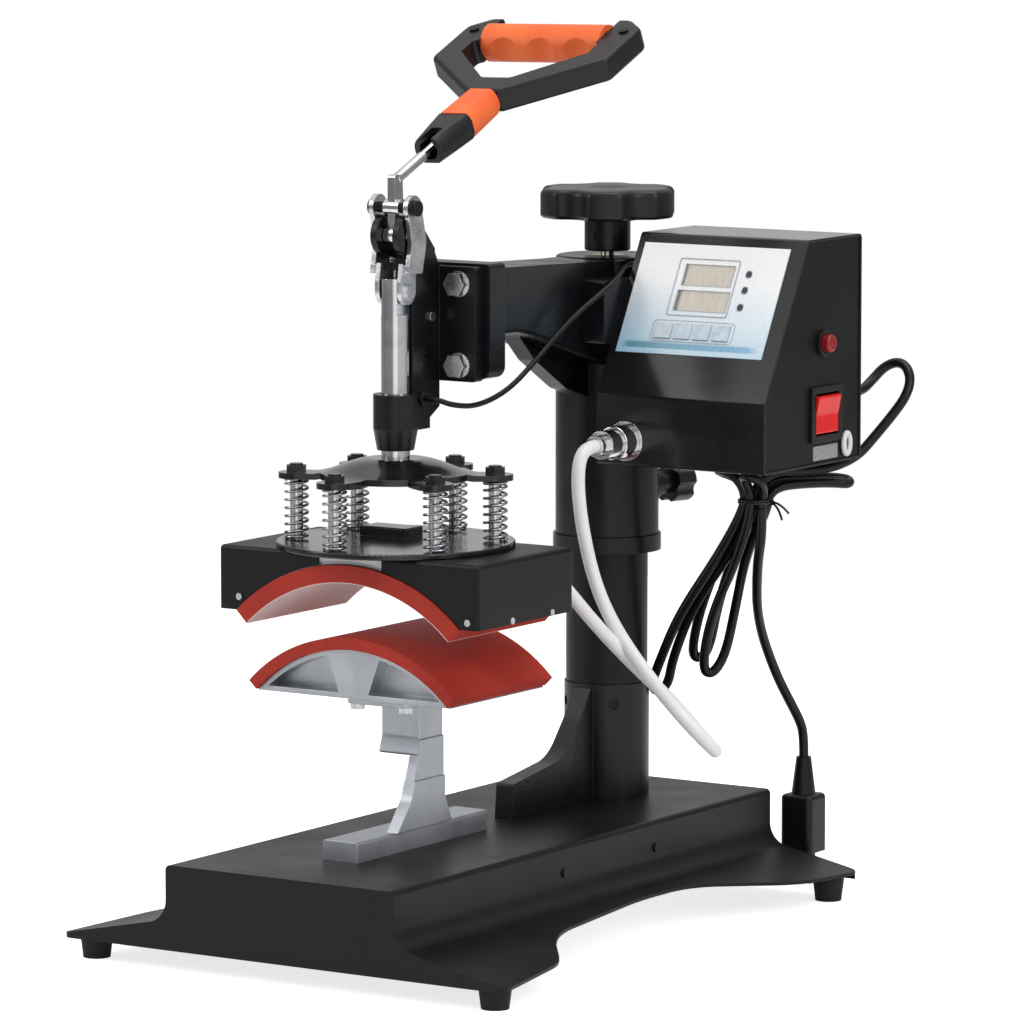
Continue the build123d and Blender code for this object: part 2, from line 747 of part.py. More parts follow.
def plunger_shaft():
    body = bar_z(plunger_radius, spider_crown - 6, plunger_top, 0, press_y)
    tang_low = plunger_top - tang_length
    for side in (-1, 1):
        x0, x1 = sorted((side * tang_half, side * 20))
        body -= block(x0, x1, press_y - 20, press_y + 20, tang_low, plunger_top + 5)
    body = body & bar_z(plunger_radius, 0, plunger_top, 0, press_y)
    pin_z = pivot_z + crank - link_length
    body -= bar_x(pin_radius, -20, 20, press_y, pin_z)
    pin = bar_x(pin_radius, -tang_half, tang_half, press_y, pin_z)
    return group(body, pin)


def side_links():
    """A pair of joggled plates from the crank pin down to the plunger."""
    top = pivot_z + crank
    low = top - link_length
    half = link_width / 2
    y = press_y
    bow = 5.0
    links = []
    for side in (-1, 1):
        lower = [(y - half, low), (y - half, low + 6), (y - half + 2, 404), (y + half + 1, 404), (y + half, low + 6),
                 (y + half, low)]
        x0, x1 = sorted((side * link_inner, side * (link_inner + link_gauge)))
        link = prism_x(lower, [0, 0, 0, 0, 0, 0], x0, x1) + bar_x(half, x0, x1, y, low)
        x0, x1 = sorted((side * link_inner, side * (link_outer + link_gauge)))
        link += prism_x([(y - half + 1.5, 398), (y - half + 2, 403), (y + half + 1, 403), (y + half + 0.6, 398)],
                        [0] * 4, x0, x1)
        upper = [(y - half + 1.5, 399), (y - half + bow, 416), (y - half + 1, top), (y + half, top),
                 (y + half + bow, 416), (y + half + 1, 399)]
        x0, x1 = sorted((side * link_outer, side * (link_outer + link_gauge)))
        link += prism_x(upper, [0, 12, 0, 0, 12, 0], x0, x1) + bar_x(half, x0, x1, y, top)
        link -= bar_x(pin_radius + running_gap, -30, 30, y, top)
        head0, head1 = sorted((side * (link_inner + link_gauge), side * (link_inner + link_gauge + 2)))
        link += bar_x(4.6, head0, head1, y, low)
        links.append(link)
    return group(*links)


# ---------------------------------------------------------------- handle


def stem_place(shape):
    """Place a shape drawn with its stem along +Z (0 at the rod's start) and its width along X."""
    lean = 90 - stem_rise
    turned = Rot(0, 0, handle_twist) * shape
    return Pos(0, stem_start[0], stem_start[1]) * Rot(-lean, 0, 0) * turned


def toggle_lever():
    bar = prism_x([(pivot_y - 4, pivot_z), (pivot_y - 4, stem_start[1] + 3), (pivot_y + 4, stem_start[1] + 3),
                   (pivot_y + 5, pivot_z + crank), (pivot_y + 5, pivot_z)], [0, 2, 2, 0, 0], -2.5, 2.5)
    bar += bar_x(5.2, -5.2, 5.2, pivot_y, pivot_z)
    bar += bar_x(5.2, -5.2, 5.2, pivot_y, pivot_z + crank)
    rod = Pos(0, 0, (rod_exposed + 24) / 2) * Cylinder(grip_rod_radius, rod_exposed + 24)
    bar += stem_place(rod)
    bar -= bar_x(pin_radius + running_gap, -20, 20, pivot_y, pivot_z)
    bar -= bar_x(pin_radius, -20, 20, pivot_y, pivot_z + crank)
    return bar


def frame_outline():
    """D frame in its own plane: width along X, height along the stem."""
    z0 = rod_exposed + sleeve_length + neck_length
    zc = grip_distance
    points = [(-11, z0), (-frame_corner, zc - 34), (-frame_corner, zc + 8), (-49, zc + 19), (49, zc + 19),
              (frame_corner, zc + 8), (frame_corner, zc - 34), (11, z0)]
    radii = [4, 6, 8, 8, 8, 8, 6, 4]
    opening = [(-10, z0 + 17), (-45, zc - 27), (-45, zc - 12), (45, zc - 12), (45, zc - 27), (10, z0 + 17)]
    opening_radii = [4, 5, 3, 3, 5, 4]
    return points, radii, opening, opening_radii


def handle_frame():
    points, radii, opening, opening_radii = frame_outline()
    half = frame_gauge / 2
    frame = prism_y(points, radii, -half, half)
    frame = fillet(frame.edges().group_by(Axis.Y)[0] + frame.edges().group_by(Axis.Y)[-1], 3)
    frame -= prism_y(opening, opening_radii, -half - 1, half + 1)
    zc = grip_distance
    frame -= block(-grip_half, grip_half, -20, 20, zc - 13, zc + 30)
    frame += bar_x(8, -grip_half - 2, grip_half + 2, 0, zc)
    z_sleeve = rod_exposed
    z_neck = z_sleeve + sleeve_length
    z_frame = z_neck + neck_length
    shell = Pos(0, 0, z_sleeve + sleeve_length / 2) * Cone(9.5, 12.5, sleeve_length)
    shell &= block(-12, 12, -8, 8, z_sleeve, z_neck)
    shell -= bar_z(6, z_sleeve - 1, z_sleeve + 14)
    shell -= block(-4, 4, -20, 0, z_sleeve - 1, z_sleeve + 14)
    frame += shell
    frame += bar_z(7, z_neck - 1, z_frame + 8)
    frame -= bar_z(grip_rod_radius, -1, rod_exposed + 24)
    for side in (-1, 1):
        frame -= bar_y(1.6, -20, 4, side * 53, grip_distance + 2)
    return stem_place(frame)


def handle_grip():
    """Soft orange sleeve round the top bar, with finger hollows, and the soft neck below the frame."""
    zc = grip_distance
    sleeve = bar_x(grip_radius, -grip_half, grip_half, 0, zc)
    for x in (-26, 0, 26):
        sleeve -= bar_y(17, -20, 20, x, zc - grip_radius - 14)
    sleeve -= bar_x(8, -grip_half - 1, grip_half + 1, 0, zc)
    z0 = rod_exposed + sleeve_length
    z1 = z0 + neck_length
    neck = Pos(0, 0, (z0 + z1) / 2) * Cone(12.0, 11.0, neck_length)
    neck &= block(-12, 12, -8.5, 8.5, z0, z1)
    neck -= bar_z(7, z0 - 1, z1 + 1)
    return group(stem_place(sleeve), stem_place(neck))


def handle_screws():
    crank_pin = bar_x(pin_radius, -link_outer - link_gauge, link_outer + link_gauge, pivot_y, pivot_z + crank)
    for side in (-1, 1):
        x0, x1 = sorted((side * (link_outer + link_gauge + 0.1), side * (link_outer + link_gauge + 3)))
        crank_pin += bar_x(4.6, x0, x1, pivot_y, pivot_z + crank)
        x0, x1 = sorted((side * (link_outer + link_gauge), side * (link_outer + link_gauge + 0.1)))
        crank_pin += bar_x(pin_radius, x0, x1, pivot_y, pivot_z + crank)
    screws = []
    for side in (-1, 1):
        screw = bar_y(1.6, -frame_gauge / 2, 4, side * 53, grip_distance + 2)
        screw += bar_y(3, -frame_gauge / 2 - 1.2, -frame_gauge / 2, side * 53, grip_distance + 2)
        screws.append(stem_place(screw))
    return group(crank_pin, *screws)


# ---------------------------------------------------------------- heat head


def post_places():
    return [(spring_circle * cos(radians(spring_turn + 360 / spring_count * i)),
             press_y + spring_circle * sin(radians(spring_turn + 360 / spring_count * i)))
            for i in range(spring_count)]


def hood_screw_places():
    front = [(-75.0, 210.0), (83.7, 206.5)]
    side = [(-103.0, 204.2), (-61.0, 204.2)]
    return front, side


def heat_hood():
    body = block(-hood_half_width, hood_half_width, hood_front, hood_rear, hood_bottom, hood_top)
    body = fillet(body.edges().filter_by(Axis.Z) + body.edges().group_by(Axis.Z)[-1], 2.5)
    g = hood_gauge
    body -= block(-hood_half_width + g, hood_half_width - g, hood_front + g, hood_rear - g,
                  hood_bottom - 1, hood_top - g)
    body -= bar_y(pad_back + arch_gap, hood_front - 5, hood_rear + 5, 0, upper_centre)
    body -= block(-20, 24, hood_front - 1, hood_front + g + 0.1, 225, hood_top - g)
    for x, y in post_places():
        body -= bar_z(post_radius, 230, 250, x, y)
    body -= bar_y(cable_radius + 0.1, hood_rear - 5, hood_rear + 5, hood_cable_x, hood_cable_z)
    return body


def insulation():
    """Fibre blanket between the heater plate and the hood."""
    g = hood_gauge + 0.3
    body = block(-hood_half_width + g + 2, hood_half_width - g - 2, hood_front + g, hood_rear - g,
                 hood_bottom + 3, hood_top - hood_gauge)
    body -= bar_y(heater_outer, hood_front - 5, hood_rear + 5, 0, upper_centre)
    body -= bar_y(cable_radius + 0.3, hood_rear - 15, hood_rear + 5, hood_cable_x, hood_cable_z)
    return group(*body.solids())


def heater_plate():
    g = hood_gauge + 0.3
    half = (upper_pad_half + 8) * heater_outer / pad_back
    return arch(heater_outer, pad_back, half, upper_centre, hood_depth - 2 * g, press_y)


def upper_pad():
    outer = pad_back
    inner = pad_radius + seat_gap
    half = upper_pad_half * outer / inner
    return arch(outer, inner, half, upper_centre, upper_pad_depth, press_y)


def hood_screws():
    front, side = hood_screw_places()
    solids = []
    for x, z in front:
        solids.append(bar_y(hood_screw_radius, hood_front - 1.6, hood_front, x, z))
    for y, z in side:
        solids.append(bar_x(hood_screw_radius, hood_half_width, hood_half_width + 1.6, y, z))
        solids.append(bar_x(hood_screw_radius, -hood_half_width - 1.6, -hood_half_width, y, z))
    return group(*solids)


def round_plate():
    disc = bar_z(disc_radius, hood_top, hood_top + disc_gauge, 0, press_y)
    disc = fillet(disc.edges(), 0.8)
    clamp = block(-28, 4, press_y + 4, press_y + 22, hood_top + disc_gauge, hood_top + disc_gauge + 6)
    clamp = fillet(clamp.edges().group_by(Axis.Z)[-1], 1)
    disc += clamp
    for x, y in post_places():
        disc -= bar_z(post_radius, 230, 250, x, y)
    return disc


def guide_posts():
    solids = []
    nut_bottom = spring_top + spider_gauge
    for x, y in post_places():
        post = bar_z(post_radius, hood_top - hood_gauge, nut_bottom + 5, x, y)
        nut = hexagon_z(11, nut_bottom, nut_bottom + 4, x, y)
        solids.append(post + nut)
    return group(*solids)


def press_springs():
    solids = []
    for x, y in post_places():
        solids.append(ring_z(spring_outer, spring_outer - spring_wire, spring_bottom, spring_top, x, y))
    return group(*solids)


def spring_spider():
    """Domed plate with six rounded arms that press on the springs."""
    low = spring_top
    rim = spring_top + spider_gauge
    crown = spider_crown
    hub = 16.0
    shoulder = 48.0
    with BuildSketch(Plane.XZ) as section:
        with BuildLine():
            a = Line((0, crown), (hub, crown))
            b = Spline((hub, crown), (shoulder, rim), tangents=((1, -0.1), (1, -0.12)))
            c = Line((shoulder, rim), (spider_reach, rim))
            d = Line((spider_reach, rim), (spider_reach, low))
            e = Line((spider_reach, low), (shoulder - 1, low))
            f = Spline((shoulder - 1, low), (hub, crown - spider_gauge - 2), tangents=((-1, 0.12), (-1, 0.1)))
            h = Line((hub, crown - spider_gauge - 2), (0, crown - spider_gauge - 2))
            i = Line((0, crown - spider_gauge - 2), (0, crown))
        make_face()
    dome = revolve(section.sketch, Axis.Z)
    dome = Pos(0, press_y, 0) * dome
    star = bar_z(spider_body, 200, 320, 0, press_y)
    for x, y in post_places():
        a = atan2(y - press_y, x)
        arm = block(0, spring_circle, -spider_arm_half, spider_arm_half, 200, 320)
        arm += bar_z(spider_arm_half, 200, 320, spring_circle, 0)
        star += Pos(0, press_y, 0) * Rot(0, 0, degrees(a)) * arm
    body = dome & star
    for x, y in post_places():
        body -= bar_z(post_radius + seat_gap, 200, 320, x, y)
    return body - bar_z(plunger_radius, 200, 320, 0, press_y)


# ---------------------------------------------------------------- control box


def box_outline(depth):
    """Side outline of the control box, moved inwards by depth."""
    k = depth * tan((pi / 2 - slope_angle) / 2)
    m = depth * tan(slope_angle / 2)
    return [(box_front + depth, box_bottom + depth), (box_front + depth, box_knee - k),
            (box_slope_top_y + m, box_top - depth), (box_rear - depth, box_top - depth),
            (box_rear - depth, box_bottom + depth)]


def slope_place(x, along, depth=0.0):
    """A frame on the sloping face: x across, along up the slope, depth outwards."""
    y = box_front + along * cos(slope_angle) - depth * sin(slope_angle)
    z = box_knee + along * sin(slope_angle) + depth * cos(slope_angle)
    return Plane(origin=(x, y, z), x_dir=(1, 0, 0), z_dir=(0, -sin(slope_angle), cos(slope_angle)))


def slope_block(x0, x1, a0, a1, d0, d1):
    return slope_place((x0 + x1) / 2, (a0 + a1) / 2, (d0 + d1) / 2) * Box(x1 - x0, a1 - a0, d1 - d0)


def control_box_shell():
    body = prism_x(box_outline(0), [2, 3, 3, 3, 2], box_left, box_right)
    body -= prism_x(box_outline(box_gauge), [0.5, 1.5, 1.5, 1.5, 0.5], box_left + box_gauge, box_right + 1)
    for x0, x1, a0, a1 in windows:
        body -= slope_block(x0, x1, a0, a1, -5, 2)
    for along in lamps:
        body -= slope_place(lamp_x, along) * Cylinder(2.0, 10)
    for x in key_x:
        body -= slope_place(x, key_along) * Cylinder(2.5, 10)
    body -= bar_y(connector_radius, box_front - 1, box_front + 5, connector_x, connector_z)
    body -= bar_y(gland_thread, box_rear - 5, box_rear + 1, gland_x, gland_z)
    for y, z in bracket_bolt_places():
        body -= bar_x(3, box_left - 1, box_left + 3, y, z)
    body -= bar_x(sensor_cord_radius + 0.3, box_left - 1, box_left + 3, sensor_entry[1], sensor_entry[2])
    return body


def box_side_panel():
    """Right wall, set just inside the shell's rim, folded into the floor's edge."""
    gap = box_gauge + 0.15
    x1 = box_right - panel_inset
    body = prism_x(box_outline(gap), [1, 2, 2, 2, 1], x1 - box_gauge, x1)
    body -= bar_x(7.0, x1 - 10, x1 + 5, button_y, button_z)
    y0, y1, z0, z1 = rocker_box
    body -= block(x1 - 10, x1 + 5, y0 + 3, y1 - 3, z0 + 3, z1 - 3)
    return body


def switch_bezels():
    x = box_right - panel_inset
    collar = bar_x(8.0, x, x + 2.5, button_y, button_z) + bar_x(7.0, x - 14, x, button_y, button_z)
    collar -= bar_x(5.6, x - 12, x + 5, button_y, button_z)
    y0, y1, z0, z1 = rocker_box
    frame = block(x, x + 2, y0, y1, z0, z1)
    frame = fillet(frame.edges().filter_by(Axis.X), 1.5)
    frame += block(x - 16, x, y0 + 3, y1 - 3, z0 + 3, z1 - 3)
    frame -= block(x - 14, x + 5, y0 + 4.5, y1 - 4.5, z0 + 3.8, z1 - 3.8)
    frame -= bar_y(rocker_pin + running_gap, y0 + 3.3, y1 - 3.3, x - 2, (z0 + z1) / 2)
    return group(collar, frame)


def rocker_switch():
    """Two-faced rocker on two small pins; its upper half stands out at rest."""
    x = box_right - panel_inset + 1
    y0, y1, z0, z1 = rocker_box
    zc = (z0 + z1) / 2
    wall = 4.5
    side = 0.5
    face = [(5, -rocker_half), (3.8, 0), (5, rocker_half), (1, rocker_half), (-3, 5), (-3, -5), (1, -rocker_half)]
    body = prism_y(face, [1, 12, 1, 0, 0, 0, 0], y0 + wall + side, y1 - wall - side)
    body += bar_y(rocker_pin, y0 + wall - 1, y1 - wall + 1, 0, 0)
    return Pos(x - 3, 0, zc) * Rot(0, rocker_tilt, 0) * body


def push_button():
    x = box_right - panel_inset
    cap = bar_x(5.4, x - 4, x + 7.5, button_y, button_z)
    return fillet(cap.edges().group_by(Axis.X)[-1], 2)


def display_overlay():
    x0, x1, a0, a1 = overlay
    body = slope_block(x0, x1, a0, a1, 0, overlay_gauge)
    for wx0, wx1, wa0, wa1 in windows:
        body -= slope_block(wx0, wx1, wa0, wa1, -1, 3)
    for along in lamps:
        body -= slope_place(lamp_x, along) * Cylinder(2.0, 10)
    for x in key_x:
        body -= slope_block(x - key_width / 2 - slip_gap, x + key_width / 2 + slip_gap,
                            key_along - key_height / 2 - slip_gap, key_along + key_height / 2 + slip_gap, -1, 3)
    return body


def display_lenses():
    solids = []
    for x0, x1, a0, a1 in windows:
        solids.append(slope_block(x0, x1, a0, a1, -6, overlay_gauge - 0.3))
    for along in lamps:
        solids.append(slope_place(lamp_x, along, (overlay_gauge + 0.4 - 6) / 2) * Cylinder(
            2.0, overlay_gauge + 0.4 + 6))
    return group(*solids)


def membrane_key(x):
    cap = slope_block(x - key_width / 2, x + key_width / 2, key_along - key_height / 2,
                      key_along + key_height / 2, key_travel + 0.1, key_travel + 1.1)
    stem = slope_place(x, key_along, (key_travel + 0.1 - 5) / 2) * Cylinder(2.0, 5 + key_travel + 0.1)
    return cap + stem


def circuit_boards():
    """Display board on four pillars behind the sloping face, and the power board on the left wall."""
    display = slope_block(52, 138, 34, 94, -8, -6)
    for x in (56, 134):
        for along in (38, 90):
            display += slope_place(x, along, -(6 + box_gauge) / 2) * Cylinder(2.5, 6 - box_gauge)
    x0 = box_left + box_gauge
    power = block(x0 + 5, x0 + 7, 122, 180, 285, 345)
    for y in (128, 174):
        for z in (291, 339):
            power += bar_x(2.5, x0, x0 + 5, y, z)
    transformer = block(x0 + 7, x0 + 37, 127, 160, 297, 333)
    relay = block(x0 + 7, x0 + 24, 164, 177, 300, 330)
    return group(display, power + transformer + relay)


def heater_connector():
    """Panel socket and the cable's screw-on plug, on the box's lower front."""
    x, z = connector_x, connector_z
    r = connector_radius
    y = box_front
    socket = bar_y(12.0, y - 2, y, x, z) + bar_y(r, y, y + 14, x, z) + bar_y(7.4, y - 10, y - 2, x, z)
    nut = bar_y(10.2, y - 16, y - 2.2, x, z) - bar_y(7.45, y - 20, y, x, z)
    nut = fillet(nut.edges().group_by(Axis.Y)[0], 0.8)
    shell = bar_y(8.6, y - 29, y - 16.0, x, z) + bar_y(7.3, y - 16, y - 10.2, x, z)
    shell += bar_y(6.2, y - connector_reach, y - 29, x, z)
    shell -= bar_y(cable_radius, y - connector_reach - 1, y - 24, x, z)
    return group(socket, nut, shell)


def bracket_bolt_places():
    return [(bracket_rear - 6, bracket_bottom + 7), (bracket_rear - 6, bracket_top - 18)]


def box_bracket():
    body = block(arm_half_width, box_left, bracket_front, bracket_rear, bracket_bottom, bracket_top)
    body = fillet(body.edges().filter_by(Axis.X), 2)
    for y, z in bracket_bolt_places():
        body -= bar_x(3, 0, 60, y, z)
    return body


def mains_gland():
    body = bar_y(gland_thread, box_rear - 8, box_rear, gland_x, gland_z)
    body += hexagon_y(16, box_rear, box_rear + 4, gland_x, gland_z)
    body += Pos(gland_x, box_rear + 4 + 6, gland_z) * Rot(-90, 0, 0) * Cone(6.5, 4.6, 12)
    body -= bar_y(mains_radius, box_rear - 10, box_rear + gland_reach + 1, gland_x, gland_z)
    return body


# ---------------------------------------------------------------- cords


def heater_cable():
    points = list(heater_route)
    points[0] = (connector_x, box_front - connector_reach, connector_z)
    points[-1] = (hood_cable_x, hood_rear - 6, hood_cable_z)
    return tube(points, 2 * cable_radius)


def mains_cord():
    points = list(mains_route)
    points[0] = (gland_x, box_rear + gland_reach, gland_z)
    return tube(points, 2 * mains_radius)


def sensor_cable():
    return tube(sensor_route, 2 * sensor_cord_radius)


def mains_lead():
    return tube(lead_route, 2 * mains_radius)


def mains_hank():
    """The surplus cord, folded to and fro: a tied neck and the closed outer shape of the bundle."""
    d = hank_direction
    x, y = neck_place
    neck = Pos(x, y, neck_low) * extrude(Ellipse(*neck_half), neck_high - neck_low)
    body = ellipse_loft([((x - 3, y, neck_low + 4), (0, 0, -1), 5, 4.5), ((87, 148, 220), d, 12, 9),
                         ((62, 160, 177), d, 18, 11), ((47, 168, 143), d, 19, 10), ((39, 172, 126), d, 13, 7)])
    return neck + body


def cord_ties():
    x, y = neck_place
    middle = (neck_low + neck_high) / 2
    band = Ellipse(neck_half[0] + 1.2, neck_half[1] + 1.2) - Ellipse(*neck_half)
    tie = Pos(x, y, middle - 2.5) * extrude(band, 5)
    tail = prism_y([(x + neck_half[0] + 0.6, middle - 1), (x + neck_half[0] + 9, middle - 6),
                    (x + neck_half[0] + 12, middle - 20), (x + neck_half[0] + 13, middle - 20),
                    (x + neck_half[0] + 10, middle - 5), (x + neck_half[0] + 0.6, middle + 0.5)],
                   [0, 4, 0, 0, 5, 0], y - 1.2, y + 1.2)
    return tie + tail


def mains_plug():
    """Moulded plug standing on its prongs, with its tapered strain relief on top."""
    body = block(plug_x - 11, plug_x + 11, plug_y - 11, plug_y + 11, 20, 56)
    body = fillet(body.edges().filter_by(Axis.Z), 4)
    body = fillet(body.edges().group_by(Axis.Z)[-1], 3)
    relief = Pos(plug_x, plug_y, (56 + 79) / 2) * Cone(7.5, 4.6, 23)
    body += relief
    prongs = [block(plug_x + x - 1, plug_x + x + 1, plug_y - 3, plug_y + 3, 0, 20) for x in (-6, 6)]
    earth = bar_z(2.4, 0, 20, plug_x, plug_y + 7.5)
    return group(body, *prongs, earth)


# ---------------------------------------------------------------- build

parts = {
    "base_cover": base_cover, "base_stiffener": base_stiffener, "rubber_feet": rubber_feet,
    "base_screws": base_screws, "column_socket": column_socket, "column_tube": column_tube,
    "platen_stand": platen_stand, "platen_screws": platen_screws, "lower_platen": lower_platen,
    "lower_pad": lower_pad, "mains_plug": mains_plug,
    "lift_bush": lift_bush, "pressure_rod": pressure_rod, "knob_hub": knob_hub, "pressure_knob": pressure_knob,
    "arm_casting": arm_casting, "sleeve_collar": sleeve_collar, "swing_liners": swing_liners,
    "lock_knob": lock_knob, "toggle_body": toggle_body, "arm_bolts": toggle_bolts, "handle_pin": handle_pin,
    "closing_sensor": closing_sensor, "box_bracket": box_bracket, "control_box_shell": control_box_shell,
    "box_side_panel": box_side_panel, "switch_bezels": switch_bezels, "rocker_switch": rocker_switch,
    "push_button": push_button, "display_overlay": display_overlay, "display_lenses": display_lenses,
    "circuit_boards": circuit_boards, "heater_connector": heater_connector, "mains_gland": mains_gland,
    "heater_cable": heater_cable, "mains_cord": mains_cord, "sensor_cable": sensor_cable,
    "mains_lead": mains_lead, "mains_hank": mains_hank, "cord_ties": cord_ties,
    "round_plate": round_plate, "heat_hood": heat_hood, "hood_screws": hood_screws, "insulation": insulation,
    "heater_plate": heater_plate, "upper_pad": upper_pad, "guide_posts": guide_posts,
    "press_springs": press_springs, "plunger_shaft": plunger_shaft, "spring_spider": spring_spider,
    "toggle_lever": toggle_lever, "handle_frame": handle_frame, "handle_grip": handle_grip,
    "handle_screws": handle_screws, "side_links": side_links,
}

os.makedirs("parts", exist_ok=True)
for name, make in parts.items():
    export_step(make(), "parts/" + name + ".step")
for index, x in enumerate(key_x):
    export_step(membrane_key(x), "parts/membrane_key_%d.step" % (index + 1))
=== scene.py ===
import json
import math
import bpy
import bmesh
from mathutils import Matrix, Vector


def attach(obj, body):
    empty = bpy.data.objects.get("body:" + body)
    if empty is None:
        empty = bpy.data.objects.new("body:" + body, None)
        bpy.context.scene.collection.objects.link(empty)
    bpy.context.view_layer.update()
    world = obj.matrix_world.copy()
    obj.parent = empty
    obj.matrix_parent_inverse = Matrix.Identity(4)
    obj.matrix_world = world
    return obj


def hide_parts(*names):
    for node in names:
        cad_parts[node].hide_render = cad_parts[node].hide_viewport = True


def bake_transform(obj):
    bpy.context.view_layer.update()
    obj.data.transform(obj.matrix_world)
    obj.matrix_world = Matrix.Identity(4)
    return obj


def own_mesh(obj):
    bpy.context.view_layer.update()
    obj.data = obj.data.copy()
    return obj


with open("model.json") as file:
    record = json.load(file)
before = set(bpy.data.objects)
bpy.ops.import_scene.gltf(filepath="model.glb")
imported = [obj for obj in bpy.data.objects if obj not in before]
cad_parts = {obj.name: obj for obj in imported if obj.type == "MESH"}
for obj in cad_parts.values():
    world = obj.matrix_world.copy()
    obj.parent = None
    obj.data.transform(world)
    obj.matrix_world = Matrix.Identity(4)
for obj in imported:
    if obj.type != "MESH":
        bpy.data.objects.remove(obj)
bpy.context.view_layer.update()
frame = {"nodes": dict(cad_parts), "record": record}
scene = bpy.context.scene
scene.view_settings.view_transform = "Standard"
MM = 0.001


# ---------------------------------------------------------------- material tools

class Shader:
    """A small helper round one node tree."""

    def __init__(self, name):
        self.material = bpy.data.materials.new(name)
        self.material.use_nodes = True
        self.tree = self.material.node_tree
        self.tree.nodes.clear()
        self.output = self.add("ShaderNodeOutputMaterial")
        self.body = self.add("ShaderNodeBsdfPrincipled")
        self.link(self.body.outputs[0], self.output.inputs[0])
        self.place = self.add("ShaderNodeTexCoord").outputs["Object"]

    def add(self, kind, **facts):
        node = self.tree.nodes.new(kind)
        for key, value in facts.items():
            setattr(node, key, value)
        return node

    def link(self, source, target):
        self.tree.links.new(source, target)

    def feed(self, socket, value):
        if isinstance(value, bpy.types.NodeSocket):
            self.link(value, socket)
        else:
            socket.default_value = value

    def noise(self, scale, detail=3.0, roughness=0.55, stretch=None):
        node = self.add("ShaderNodeTexNoise")
        node.inputs["Scale"].default_value = scale
        node.inputs["Detail"].default_value = detail
        node.inputs["Roughness"].default_value = roughness
        if stretch:
            mapping = self.add("ShaderNodeMapping")
            mapping.inputs["Scale"].default_value = stretch
            self.link(self.place, mapping.inputs["Vector"])
            self.link(mapping.outputs[0], node.inputs["Vector"])
        else:
            self.link(self.place, node.inputs["Vector"])
        return node.outputs["Fac"]

    def span(self, value, low, high, out_low=0.0, out_high=1.0):
        node = self.add("ShaderNodeMapRange")
        self.feed(node.inputs["Value"], value)
        numbers = (("From Min", low), ("From Max", high), ("To Min", out_low), ("To Max", out_high))
        for name, number in numbers:
            node.inputs[name].default_value = number
        return node.outputs[0]

    def math(self, operation, a, b=0.0):
        node = self.add("ShaderNodeMath", operation=operation)
        self.feed(node.inputs[0], a)
        self.feed(node.inputs[1], b)
        return node.outputs[0]

    def mix(self, factor, a, b):
        node = self.add("ShaderNodeMix", data_type="RGBA")
        self.feed(node.inputs["Factor"], factor)
        for index, value in ((6, a), (7, b)):
            if isinstance(value, bpy.types.NodeSocket):
                self.link(value, node.inputs[index])
            else:
                node.inputs[index].default_value = (*value, 1.0)
        return node.outputs[2]

    def axes(self):
        node = self.add("ShaderNodeSeparateXYZ")
        self.link(self.place, node.inputs[0])
        return node.outputs

    def edge(self, radius):
        node = self.add("ShaderNodeBevel")
        node.samples = 4
        node.inputs["Radius"].default_value = radius
        return node.outputs[0]

    def bump(self, height, depth, under=None):
        node = self.add("ShaderNodeBump")
        node.inputs["Strength"].default_value = 1.0
        node.inputs["Distance"].default_value = depth
        self.feed(node.inputs["Height"], height)
        if under is not None:
            self.link(under, node.inputs["Normal"])
        return node.outputs[0]

    def wear(self, radius, low, high):
        """How near the point is to a sharp edge: 0 on a plain face and up to 1 on an edge."""
        geometry = self.add("ShaderNodeNewGeometry")
        node = self.add("ShaderNodeVectorMath", operation="DOT_PRODUCT")
        self.link(self.edge(radius), node.inputs[0])
        self.link(geometry.outputs["Normal"], node.inputs[1])
        return self.span(node.outputs["Value"], high, low)


def surface(name, dark, light, rough, patch=25.0, grain=900.0, depth=0.00005, metallic=0.0, edge=0.0,
            edge_colour=None, stretch=None, specular=0.5, coat=0.0, coat_rough=0.1, sheen=0.0):
    """Two tones in soft patches, roughness that follows them, a fine grain as bump and softened edges."""
    s = Shader(name)
    patches = s.span(s.noise(patch, 4.0, 0.6, stretch), 0.35, 0.65)
    colour = s.mix(patches, dark, light)
    if edge_colour:
        colour = s.mix(s.math("MULTIPLY", s.wear(0.0006, 0.80, 0.97), 0.6), colour, edge_colour)
    s.feed(s.body.inputs["Base Color"], colour)
    fine = s.noise(grain, 2.0, 0.5, stretch)
    s.feed(s.body.inputs["Roughness"], s.span(s.math("ADD", patches, fine), 0.3, 1.7, rough[0], rough[1]))
    s.body.inputs["Metallic"].default_value = metallic
    s.body.inputs["Specular IOR Level"].default_value = specular
    s.body.inputs["Coat Weight"].default_value = coat
    s.body.inputs["Coat Roughness"].default_value = coat_rough
    s.body.inputs["Sheen Weight"].default_value = sheen
    under = s.edge(edge) if edge else None
    s.link(s.bump(fine, depth, under), s.body.inputs["Normal"])
    return s


materials = {}
materials["black_steel"] = surface(
    "black_steel", (0.0036, 0.0036, 0.0041), (0.0060, 0.0060, 0.0067), (0.34, 0.46), 18, 1100, 0.00003,
    edge=0.0007, edge_colour=(0.025, 0.025, 0.028), specular=0.26).material
materials["black_casting"] = surface(
    "black_casting", (0.0036, 0.0040, 0.0054), (0.0058, 0.0062, 0.0084), (0.24, 0.38), 30, 420, 0.00009,
    edge=0.0008, edge_colour=(0.03, 0.032, 0.04), specular=0.34).material
materials["gloss_black_plate"] = surface(
    "gloss_black_plate", (0.004, 0.004, 0.005), (0.006, 0.006, 0.0075), (0.12, 0.22), 24, 500, 0.00003,
    edge=0.0005, edge_colour=(0.04, 0.04, 0.05), coat=0.3, coat_rough=0.08).material
materials["zinc_steel"] = surface(
    "zinc_steel", (0.52, 0.53, 0.55), (0.74, 0.74, 0.75), (0.18, 0.34), 90, 1300, 0.00004, metallic=1.0,
    edge=0.0005).material
